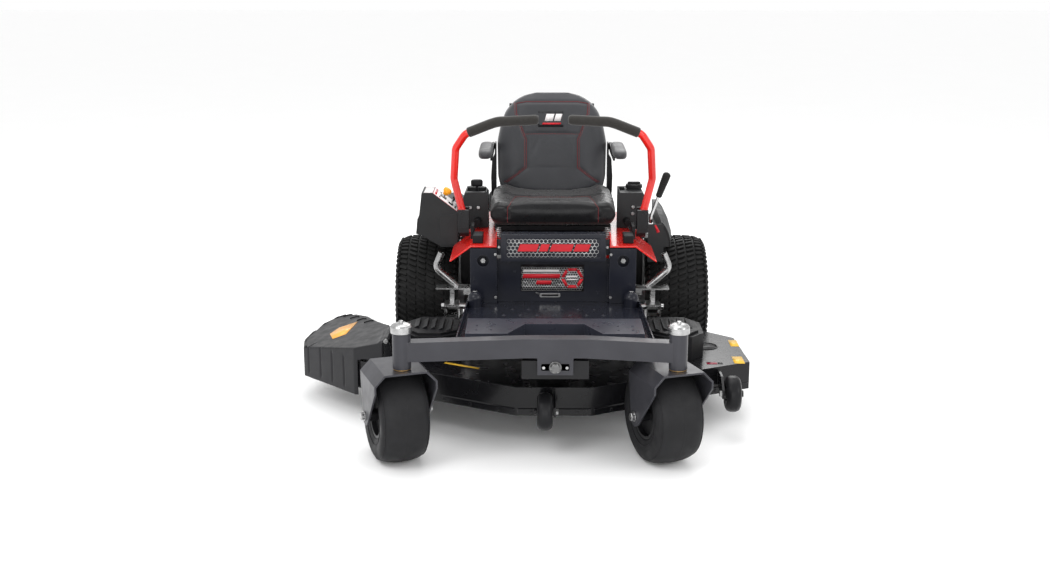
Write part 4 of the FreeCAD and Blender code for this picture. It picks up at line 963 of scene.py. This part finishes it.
def back_emblem(tree):
    """A small sewn tag with plain slanted bars on the middle of the backrest."""
    tag = Piece("seat_tag")
    for finish, x0, x1, z0, z1, slant, lift in (
            ("seat_yoke", -56, 46, 962, 1024, 0, 1.0), ("film_white", -30, 2, 986, 1014, 8, 1.8),
            ("film_white", 8, 34, 986, 1014, 8, 1.8), ("film_red", -40, 34, 972, 979, 3, 1.8)):
        tag.use(finish)
        steps = 6
        lower = [(x0 + (x1 - x0) * k / steps, 0, z0) for k in range(steps + 1)]
        upper = [(x + slant, 0, z1) for x, _, _ in lower]
        low_line = laid_on(tree, lower, (0, 1, 0), lift)
        high_line = laid_on(tree, upper, (0, 1, 0), lift)
        for k in range(len(low_line) - 1):
            quad = [low_line[k], low_line[k + 1], high_line[k + 1], high_line[k]]
            back = [p + Vector((0, lift, 0)) for p in quad]
            tag.loft([quad, back])
    tag.make("seat", "seat_vinyl")


def armrests():
    for side, sign in (("left", 1), ("right", -1)):
        pad = Piece("armrest_pad_" + side).use("armrest_urethane")
        inner, outer = 236.0, 287.0
        rings = []
        for k in range(15):
            t = k / 14
            y = -334 + (-4 + 334) * t
            end = math.sqrt(max(0.06, 1 - abs(2 * t - 1) ** 7))
            mid_x, mid_z = (inner + outer) / 2, 889.5 + 2.0 * math.sin(math.pi * t)
            shape = []
            for j in range(24):
                angle = 2 * math.pi * j / 24
                c, s = math.cos(angle), math.sin(angle)
                x = mid_x + 26.5 * end * math.copysign(abs(c) ** 0.6, c)
                z = mid_z + 17.0 * end * math.copysign(abs(s) ** 0.7, s)
                shape.append((sign * x, y, z))
            rings.append(shape)
        pad.loft(rings)
        made = pad.make("armrest_" + side, "armrest_urethane", replaces=["armrest_" + side])
        strap = Piece("armrest_strap_" + side).use("black_plastic")
        outline = rounded_outline([(30, 866), (32, 896), (-46, 892), (-288, 878), (-288, 866), (-40, 862)],
                                  8.0, 4)
        strap.prism(outline, "X", sign * 234.5, sign * 241.5)
        strap.rod(15, (sign * 233, 15, 880), (sign * 247, 15, 880), 32, 2.0)
        strap.use("zinc").hexagon(17, 7, (sign * 247, 15, 880), (sign, 0, 0))
        strap.make("armrest_" + side, "black_plastic", 0.8)


# ----------------------------------------------------------- lap bars, levers
GRIP_PATH = [(317.6, -500, 1003.3), (290, -500, 1014), (215, -500, 1042), (168, -500, 1046.3),
             (120, -500, 1049), (55, -500, 1052.5)]


def lap_bars():
    for side, sign in (("left", 1), ("right", -1)):
        grip = Piece("lap_bar_foam_" + side).use("grip_foam")
        line = smooth_path([(sign * x, y, z) for x, y, z in GRIP_PATH], 8)

        def thickness(t):
            return 18.8 * min(1.0, 0.72 + 9 * t, 0.72 + 9 * (1 - t))
        grip.tube(line, thickness, 28)
        grip.make("lap_bar_" + side, "grip_rubber", replaces=["lap_bar_grip_" + side])


def lift_grip():
    foot, tip = Vector((388, -250, 642)), Vector((445, -250, 800))
    way = (tip - foot).normalized()
    start, end = tip - way * 88, tip + way * 16
    grip = Piece("lift_lever_grip_ribbed").use("grip_rubber")
    line = [start.lerp(end, k / 60) for k in range(61)]

    def bulge(t):
        size = 12.5 + 3.2 * eased(t, 0.0, 0.85)
        rib = 0.9 * math.sin(t * math.pi * 26) if 0.12 < t < 0.82 else 0.0
        return (size + rib) * min(1.0, math.sqrt(max(0.02, 1 - max(0.0, (t - 0.88) / 0.12) ** 2)),
                                  0.6 + 12 * t)
    grip.tube(line, bulge, 28)
    grip.make("lift_lever", "grip_rubber", replaces=["lift_lever_grip"])


# --------------------------------------------------------------- chassis trim
def hex_net(piece, x_range, z_range, y, pitch, line, depth):
    """Hexagon outlines that fill a rectangle on a plane across Y."""
    outer = pitch / math.sqrt(3.0)
    inner = outer - line
    rise = outer * 1.5
    row = 0
    z = z_range[0] + outer
    while z + outer <= z_range[1] + 0.01:
        x = x_range[0] + pitch / 2 + (pitch / 2 if row % 2 else 0)
        while x + pitch / 2 <= x_range[1] + 0.01:
            loops = []
            for radius, place in ((outer, y), (outer, y - depth), (inner, y - depth), (inner, y)):
                loops.append([(x + radius * math.sin(math.pi * k / 3), place,
                               z + radius * math.cos(math.pi * k / 3))
                              for k in range(6)])
            piece.loft(loops, loop=True)
            x += pitch
        z += rise
        row += 1
    return piece


def slanted_bar(piece, x0, x1, z0, z1, slant, y, depth):
    outline = [(x0, z0), (x1, z0), (x1 + slant, z1), (x0 + slant, z1)]
    return piece.prism(outline, "Y", y - depth, y)


def badge():
    low, _ = span("badge_panel")
    face = low.y + 3.0
    net = Piece("badge_mesh").use("mesh_silver")
    hex_net(net, (-171, 171), (561, 631), face - 0.2, 15.0, 1.5, 1.4)
    net.make("chassis", "zinc")
    bars = Piece("badge_bars").use("film_red")
    for x0, x1 in ((-132, -62), (-54, -22), (-14, 66), (74, 128)):
        slanted_bar(bars, x0, x1, 584, 611, 10, face - 1.4, 2.4)
    bars.use("film_black")
    for x0, x1 in ((-134, -60), (-56, -20), (-16, 68), (72, 130)):
        slanted_bar(bars, x0, x1, 582, 613, 11, face - 0.2, 1.6)
    bars.make("chassis", "black_plastic", 0.4)
    sides = Piece("badge_tray_screws").use("zinc")
    for x in (-201, 201):
        sides.hexagon(10, 4, (x, -584.5, 590), (0, -1, 0))
    sides.make("chassis", "zinc", 0.3)


def front_decal():
    face = -576.2
    film = Piece("front_decal").use("film_black")
    film.box((-120, face - 0.6, 419), (115, face, 522))
    film.use("mesh_silver")
    hex_net(film, (-118, 113), (421, 520), face - 0.5, 9.4, 1.0, 0.5)
    film.use("film_white")
    slanted_bar(film, -112, 22, 494, 502, 2, face - 0.9, 0.6)
    film.use("film_red")
    slanted_bar(film, -114, 24, 470, 486, 4, face - 0.9, 0.6)
    slanted_bar(film, -64, -8, 446, 461, 4, face - 0.9, 0.6)
    outer, inner = 42.0, 30.0
    for part in (range(0, 3), range(3, 6)):
        for k in part:
            a, b = math.radians(60 * k + 4), math.radians(60 * k + 56)
            outline = [(72 + r * math.cos(t), 470 + r * math.sin(t)) for r, t in
                       ((inner, a), (outer, a), (outer, b), (inner, b))]
            film.prism(outline, "Y", face - 1.5, face - 0.9)
    film.use("film_white")
    for z in (462, 474):
        slanted_bar(film, 48, 90, z, z + 5, 3, face - 0.9, 0.6)
    film.make("chassis", "panel_navy")
    plate = Piece("park_brake_slot_plate").use("zinc")
    plate.prism(rounded_outline([(-50, 396), (28, 396), (28, 412), (-50, 412)], 6.0), "Y", face - 2.4, face)
    plate.use("black_plastic")
    plate.prism(rounded_outline([(-43, 400.5), (21, 400.5), (21, 407.5), (-43, 407.5)], 3.0), "Y",
                face - 3.2, face - 2.0)
    plate.use("zinc").rod(3, (-52, face - 3, 410), (-64, face - 12, 417), 10)
    plate.make("chassis", "zinc", 0.5)


def tower_details():
    seams = Piece("tower_seams").use("panel_navy")
    for x in (-206, 206):
        seams.box((x - 2.5, -586, 382), (x + 2.5, -577, 544))
    for x in (-110, 110, -262, 262):
        seams.box((x - 1.4, -640, 379.0), (x + 1.4, -610, 380.6))
    seams.make("chassis", "panel_navy", 0.8)
    bolts = Piece("tower_fasteners").use("zinc")
    for sign in (-1, 1):
        for x, z in ((214, 566), (214, 402)):
            bolts.hexagon(10, 4.5, (sign * x, -600, z), (0, -1, 0))
        bolts.rod(9, (sign * 288, -650, 436.5), (sign * 288, -650, 439.5), 20, 0.8)
        spring = [(sign * (206 + 9 * math.cos(t * 0.9)), -470 + 9 * math.sin(t * 0.9), 606 + t * 1.05)
                  for t in range(0, 34)]
        bolts.tube(spring, 2.2, 8)
        bolts.rod(4, (sign * 206, -470, 600), (sign * 206, -470, 642), 12)
    bolts.make("chassis", "zinc", 0.4)
    boots = Piece("lap_bar_boots").use("black_plastic")
    boots.box((297, -478, 596), (311, -402, 648)).box((262, -560, 598), (300, -480, 628))
    boots.mirror().make("chassis", "black_plastic", 2.5)
    cover = Piece("beam_pivot_cover").use("dark_steel")
    cover.hexagon(29.5, 13, (0, -1288, 345), (0, -1, 0)).rod(21, (0, -1289, 345), (0, -1284, 345), 36, 1.0)
    cover.make("chassis", "zinc", 0.6)


def pods():
    """Moulded details, labels and small controls on the two fenders."""
    top, foot = Vector((-465, 0, 747)), Vector((-367, 0, 671))
    run = (foot - top)
    normal = Vector((-(run.z), 0, run.x)).normalized()
    if normal.z < 0:
        normal = -normal

    def on_slope(share, y, lift):
        return top + run * share + normal * lift + Vector((0, y, 0))

    label = Piece("control_label")
    patches = (
        ("film_red", 0.02, 0.97, -326, -190, 0.0, 0.6), ("film_white", 0.03, 0.95, -323, -193, 0.4, 1.0),
        ("film_black", 0.26, 0.50, -278, -232, 0.9, 1.3), ("film_red", 0.08, 0.15, -314, -202, 0.9, 1.2),
        ("film_black", 0.84, 0.89, -308, -204, 0.9, 1.2), ("film_black", 0.24, 0.29, -314, -286, 0.9, 1.2),
        ("film_black", 0.24, 0.29, -226, -202, 0.9, 1.2))
    for finish, s0, s1, y0, y1, low, high in patches:
        label.use(finish)
        rings = []
        for lift in (low, high):
            rings.append([on_slope(s, y, lift) for s, y in ((s0, y0), (s1, y0), (s1, y1), (s0, y1))])
        label.loft(rings)
    label.use("film_white").box((-498, -326, 747), (-464, -190, 747.8))
    label.make("chassis", "fender_plastic")

    switch = Piece("ignition_switch").use("black_plastic")
    base = on_slope(0.68, -290, 0.5)
    switch.rod(11, base, base + normal * 5, 28, 1.2)
    switch.use("zinc").rod(7.5, base + normal * 4.8, base + normal * 8.5, 24, 1.0)
    switch.use("black_plastic").rod(2.0, base + normal * 8, base + normal * 9.0, 8)
    switch.make("chassis", "black_plastic")
    choke = Piece("choke_knob").use("black_plastic")
    base = on_slope(0.72, -215, 0.5)
    choke.rod(3.5, base, base + normal * 14, 14)
    choke.rod(9.5, base + normal * 12, base + normal * 22, 24, 2.4)
    choke.make("chassis", "black_plastic")

    panel = Piece("fender_right_face").use("fender_plastic")
    outline = rounded_outline([(-441, 541), (-370, 541), (-369, 667), (-441, 657)], 6.0, 4)
    panel.prism(outline, "Y", -333.2, -329.0)
    panel.prism([(-518, 648), (-525, 645), (-531, 586), (-524, 583)], "Y", -331, 188)
    panel.make("chassis", "fender_plastic", 1.6)

    dome = Piece("fender_left_bead").use("fender_plastic")
    bead = smooth_path([(428, -297, 624), (440, -297, 608), (454, -297, 580), (462, -297, 545),
                        (462, -297, 530)], 5)
    dome.tube(bead, 3.0, 8)
    dome.use("film_red").prism([(398, 617), (405, 617), (420, 590), (409, 584)], "Y", -304.0, -302.6)
    dome.make("chassis", "fender_plastic")
    trim = Piece("console_fasteners").use("zinc")
    for x, z in ((316, 682), (315, 656), (-321, 679), (-290, 679)):
        trim.hexagon(12, 5, (x, -270, z), (0, -1, 0))
    trim.use("black_plastic")
    for x in (-292, 292):
        trim.rod(14, (x, -268, 628), (x, -325, 628), 28, 1.5)
    trim.make("chassis", "black_plastic", 0.4)


def throttle():
    knob = Piece("throttle_knob").use("black_plastic")
    knob.loft([[(-299 + 24 * c, -180 + 14 * s, z) for c, s in
                [(math.copysign(abs(math.cos(a)) ** 0.6, math.cos(a)) * g,
                  math.copysign(abs(math.sin(a)) ** 0.7, math.sin(a)) * g)
                 for a in [2 * math.pi * k / 28 for k in range(28)]]]
               for z, g in ((747, 0.78), (751, 0.97), (758, 1.0), (768, 0.98), (773, 0.86), (774.5, 0.6))])
    knob.prism([(-305, 708), (-293, 708), (-294, 748), (-304, 748)], "Y", -186, -174)
    knob.use("zinc").rod(6, (-343, -180, 708), (-257, -180, 708), 20, 1.0)
    knob.make("throttle", "black_plastic", 0.6, replaces=["throttle_lever"])


def fuel_cap():
    low, high = span("fuel_cap")
    middle = (low + high) / 2
    cap = Piece("fuel_cap_moulded").use("black_plastic")
    sides = 60
    rings = []
    for z, size in ((742.3, 31.5), (744, 33), (754.5, 32.6), (757.5, 30.5), (758.2, 27)):
        loop = []
        for k in range(sides):
            notch = -1.6 if k % 3 == 0 and 743 < z < 756 else 0.0
            angle = 2 * math.pi * k / sides
            loop.append((middle.x + (size + notch) * math.cos(angle),
                         middle.y + (size + notch) * math.sin(angle), z))
        rings.append(loop)
    cap.loft(rings)
    ridge = rounded_outline([(-26, -8), (26, -8), (26, 8), (-26, 8)], 7.5, 4)
    cap.loft([[(middle.x + x * g, middle.y + y * g, z) for x, y in ridge] for z, g in
              ((756, 1.0), (764.5, 0.96), (767, 0.84))])
    cap.make("fuel_cap", "black_plastic", 0.5, replaces=["fuel_cap"])


def yellow_knob():
    """The mushroom knob that pulls up to switch the blades on."""
    top, foot = Vector((-465, -255, 747)), Vector((-367, -255, 671))
    run = foot - top
    normal = Vector((-run.z, 0, run.x)).normalized()
    place = top + run * 0.37
    knob = Piece("pto_knob_moulded").use("zinc")
    knob.rod(5, place - normal * 22, place + normal * 12, 20, 0.8)
    knob.use("knob_yellow")
    base = place + normal * 11
    profile = [(0, 0), (9, 0), (10.5, 5), (13, 9), (17, 13), (17.4, 20), (15.5, 26), (10, 29.2), (0, 30)]
    knob.lathe(profile, base, normal, 36, whole=False)
    knob.make("pto_knob", "knob_yellow", replaces=["pto_knob"])


# ------------------------------------------------------------------- mower deck
def chute():
    """The moulded discharge chute, softened from its CAD form and given ribs."""
    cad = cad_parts["discharge_chute"]
    obj = bpy.data.objects.new("discharge_chute_moulded", cad.data.copy())
    bpy.context.scene.collection.objects.link(obj)
    remesh = obj.modifiers.new("Remesh", "REMESH")
    remesh.mode = "VOXEL"
    remesh.voxel_size = 0.0032
    relax = obj.modifiers.new("Relax", "SMOOTH")
    relax.iterations = 10
    relax.factor = 0.5
    apply_modifiers(obj)
    groove_start, groove_end = Vector((-942, -590, 0)), Vector((-722, -812, 0))
    run = groove_end - groove_start
    for v in obj.data.vertices:
        p = machine_point(v.co)
        share = (Vector((p.x, p.y, 0)) - groove_start).dot(run) / run.length_squared
        facing = v.normal.x * -0.71 + v.normal.y * -0.70
        if facing > 0.45 and p.x < -640:
            nearest = min(abs(share - s) for s in (0.10, 0.34, 0.57, 0.80)) * run.length
            depth = 3.6 * math.exp(-(nearest / 4.0) ** 2) * eased(p.z, 100, 118) * (1 - eased(p.z, 212, 236))
            v.co -= v.normal * depth * MM
    thin = obj.modifiers.new("Thin", "DECIMATE")
    thin.ratio = 0.35
    apply_modifiers(obj)
    for polygon in obj.data.polygons:
        polygon.use_smooth = True
        polygon.material_index = 0
    obj.data.materials.clear()
    obj.data.materials.append(FINISHES["chute_plastic"])
    settle(obj, "chute", ["discharge_chute"])
    tree = surface_of(obj)
    rim = Piece("chute_rim_bead").use("black_plastic")
    edge = smooth_path([(-930, -600, 0), (-949, -500, 0), (-936, -402, 0), (-903, -303, 0), (-860, -257, 0),
                        (-826, -255, 0)], 8)
    rim.tube(laid_on(tree, edge, (0, 0, -1), 0.6), 3.6, 8)
    for k in range(4):
        start = Vector((-812 + 36 * k, -272 - 66 * k, 0))
        lobe = [start + Vector((22 * math.cos(a) - 6, 22 * math.sin(a) - 18, 0)) for a in
                [math.radians(20 + 16 * j) for j in range(8)]]
        line = laid_on(tree, lobe, (0, 0, -1), 0.6)
        if len(line) > 3:
            rim.tube(line, 3.2, 8)
    rim.make("chute", "black_plastic")
    label = Piece("chute_label").use("film_amber")
    outline = [(-854, -500), (-830, -590), (-782, -572), (-756, -425), (-826, -440)]
    hit = laid_on(tree, [(x, y, 0) for x, y in outline], (0, 0, -1), 1.0)
    label.loft([hit, [p - Vector((0, 0, 1.4)) for p in hit]])
    label.make("chute", "black_plastic")


LIP_SECTION = ((-1, 117), (4, 117), (4, 139), (-1, 143))


def deck_details():
    top = 216.0
    labels = Piece("deck_labels").use("film_yellow")
    for x0, y0, x1, y1 in ((668, -612, 700, -530), (652, -826, 690, -742)):
        labels.box((x0, y0, top), (x1, y1, top + 0.7))
    labels.prism([(-394, -832), (-268, -898), (-262, -884), (-388, -818)], "Z", top, top + 0.7)
    labels.use("lens_red").box((552, -836, top), (590, -812, top + 0.8))
    labels.use("film_black").box((592, -834, top), (610, -814, top + 0.8))
    labels.make("deck", "deck_black")
    skirt = Piece("deck_lip_strip").use("deck_black")
    front = [(-710, -804), (-450, -935), (-130, -1106), (130, -1106), (450, -935), (710, -804)]
    for (ax, ay), (bx, by) in zip(front[1:], front[2:]):
        out = Vector((by - ay, -(bx - ax), 0)).normalized()
        a, b = Vector((ax, ay, 0)), Vector((bx, by, 0))
        rings = []
        for p in (a.lerp(b, 0.015), a.lerp(b, 0.985)):
            rings.append([p + out * d + Vector((0, 0, z)) for d, z in LIP_SECTION])
        skirt.loft(rings)
        for share in (0.2, 0.5, 0.8):
            spot = a.lerp(b, share) + out * 4 + Vector((0, 0, 128))
            skirt.hexagon(11, 4, spot, out)
    skirt.make("deck", "deck_black", 0.9)
    recess = Piece("deck_lift_recess").use("film_black")
    recess.rod(42, (572, -612, top - 0.4), (572, -612, top + 0.8), 40)
    recess.use("deck_black").tube(ring((572, -612, top + 0.6), (0, 0, 1), 44, 48), 2.6, 8, closed=True)
    recess.make("deck", "deck_black")
    well = Piece("deck_spindle_bolts").use("zinc")
    for x, y in ((451, -661), (-451, -661), (0, -851)):
        for k in range(4):
            angle = math.radians(45 + 90 * k)
            well.hexagon(13, 7, (x + 42 * math.cos(angle), y + 42 * math.sin(angle), top + 5.8), (0, 0, 1))
    well.make("deck", "zinc", 0.4)
    brackets = Piece("deck_wheel_hardware").use("zinc")
    for name, way in (("centre", 1), ("left", -1), ("right", 1)):
        wheel_low, wheel_high = span("deck_wheel_" + name)
        centre = (wheel_low + wheel_high) / 2
        end = centre.x + way * ((wheel_high.x - wheel_low.x) / 2 + 11)
        brackets.hexagon(20, 9, (end, centre.y, centre.z), (way, 0, 0))
    brackets.make("deck", "zinc", 0.5)


def belt_cover_ribs():
    _, high = span("belt_covers")
    ribs = Piece("belt_cover_louvres").use("black_plastic")
    for k in range(5):
        x = 372 + 30 * k
        z = high.z
        outline = [(x, z - 2), (x + 20, z - 2), (x + 20, z), (x + 4, z + 9), (x, z + 9)]
        ribs.prism(outline, "Y", -752 + 10 * k, -604)
    ribs.mirror()
    ribs.make("deck", "black_plastic", 0.9)


# ----------------------------------------------------------- engine and rear
def engine_details():
    _, high = span("engine_shroud")
    top = high.z
    kit = Piece("engine_fasteners").use("zinc")
    for k in range(6):
        angle = math.radians(60 * k + 30)
        kit.hexagon(11, 5, (122 * math.cos(angle), 300 + 122 * math.sin(angle), top - 9), (0, 0, 1))
    for sign in (-1, 1):
        for y, z in ((250, 420), (330, 420), (250, 498), (330, 498)):
            kit.hexagon(12, 6, (sign * 232, y, z), (sign, 0, 0))
    kit.make("chassis", "zinc", 0.4)
    leads = Piece("spark_plug_leads").use("belt_rubber")
    for sign in (-1, 1):
        path = smooth_path([(sign * 232, 300, 462), (sign * 256, 302, 468), (sign * 258, 292, 510),
                            (sign * 214, 262, 552), (sign * 140, 250, 566)], 8)
        leads.tube(path, 3.6, 10)
        leads.tube([(sign * 230, 300, 461), (sign * 240, 300, 463), (sign * 252, 301, 466)], 8.0, 14)
    leads.make("chassis", "belt_rubber")
    filters = Piece("oil_filter").use("film_white")
    filters.rod(36, (-92, 208, 420), (-92, 140, 420), 36, 5.0)
    filters.use("film_black").rod(36.6, (-92, 196, 420), (-92, 150, 420), 36)
    filters.make("chassis", "cast_metal", 0.6)
    dip = Piece("dipstick").use("black_plastic")
    dip.rod(6, (104, 206, 420), (112, 190, 560), 14)
    dip.use("knob_yellow").rod(11, (112, 190, 556), (112.6, 188.6, 572), 20, 3.0)
    dip.make("chassis", "black_plastic")


# ------------------------------------------------------------------ the studio
def studio():
    bpy.context.scene.view_settings.view_transform = "Standard"
    world = bpy.data.worlds.new("studio")
    bpy.context.scene.world = world
    world.use_nodes = True
    background = world.node_tree.nodes["Background"]
    background.inputs["Color"].default_value = (1.0, 1.0, 1.0, 1.0)
    background.inputs["Strength"].default_value = 1.0
    half = 30.0
    mesh = bpy.data.meshes.new("studio_floor")
    mesh.from_pydata([(-half, -half, 0), (half, -half, 0), (half, half, 0), (-half, half, 0)], [],
                     [(0, 1, 2, 3)])
    floor = bpy.data.objects.new("studio_floor", mesh)
    bpy.context.scene.collection.objects.link(floor)
    pale = Finish("studio_pale", 0.6)
    tone = pale.blend(pale.noise(2.0), (0.965, 0.965, 0.965), (0.985, 0.985, 0.985))
    pale.colour(tone)
    mesh.materials.append(pale.material)
    area_light("key", (-2.6, -3.4, 4.2), (0.0, -0.3, 0.4), 3.0, 95.0)
    area_light("fill", (3.6, -3.0, 2.6), (0.0, -0.3, 0.5), 2.6, 50.0)
    area_light("top", (0.0, 0.6, 4.6), (0.0, -0.2, 0.3), 3.4, 70.0)
    area_light("back", (0.6, 4.4, 3.0), (0.0, 0.2, 0.6), 3.0, 60.0)
    area_light("front", (0.0, -5.5, 1.2), (0.0, -0.6, 0.6), 3.2, 60.0)


def area_light(name, place, target, size, power):
    data = bpy.data.lights.new(name, "AREA")
    data.shape = "DISK"
    data.size = size
    data.energy = power
    lamp = bpy.data.objects.new(name, data)
    lamp.location = place
    lamp.rotation_mode = "QUATERNION"
    lamp.rotation_quaternion = (Vector(target) - Vector(place)).to_track_quat("-Z", "Y")
    bpy.context.scene.collection.objects.link(lamp)


def camera():
    data = bpy.data.cameras.new("camera")
    data.sensor_width = 36.0
    data.lens = 46.73
    cam = bpy.data.objects.new("camera", data)
    cam.location = at(-64, -5522, 1689)
    cam.rotation_euler = (math.radians(90 - 14.16), 0.0, math.radians(0.47))
    bpy.context.scene.collection.objects.link(cam)
    bpy.context.scene.camera = cam


def build():
    for side in ("left", "right"):
        rear_tyre(side)
        caster_tyre(side)
    for name in ("centre", "left", "right"):
        deck_wheel(name)
    seat()
    armrests()
    lap_bars()
    lift_grip()
    badge()
    front_decal()
    tower_details()
    pods()
    throttle()
    fuel_cap()
    yellow_knob()
    chute()
    deck_details()
    belt_cover_ribs()
    engine_details()
    dress_cad_nodes()
    studio()
    camera()


build()
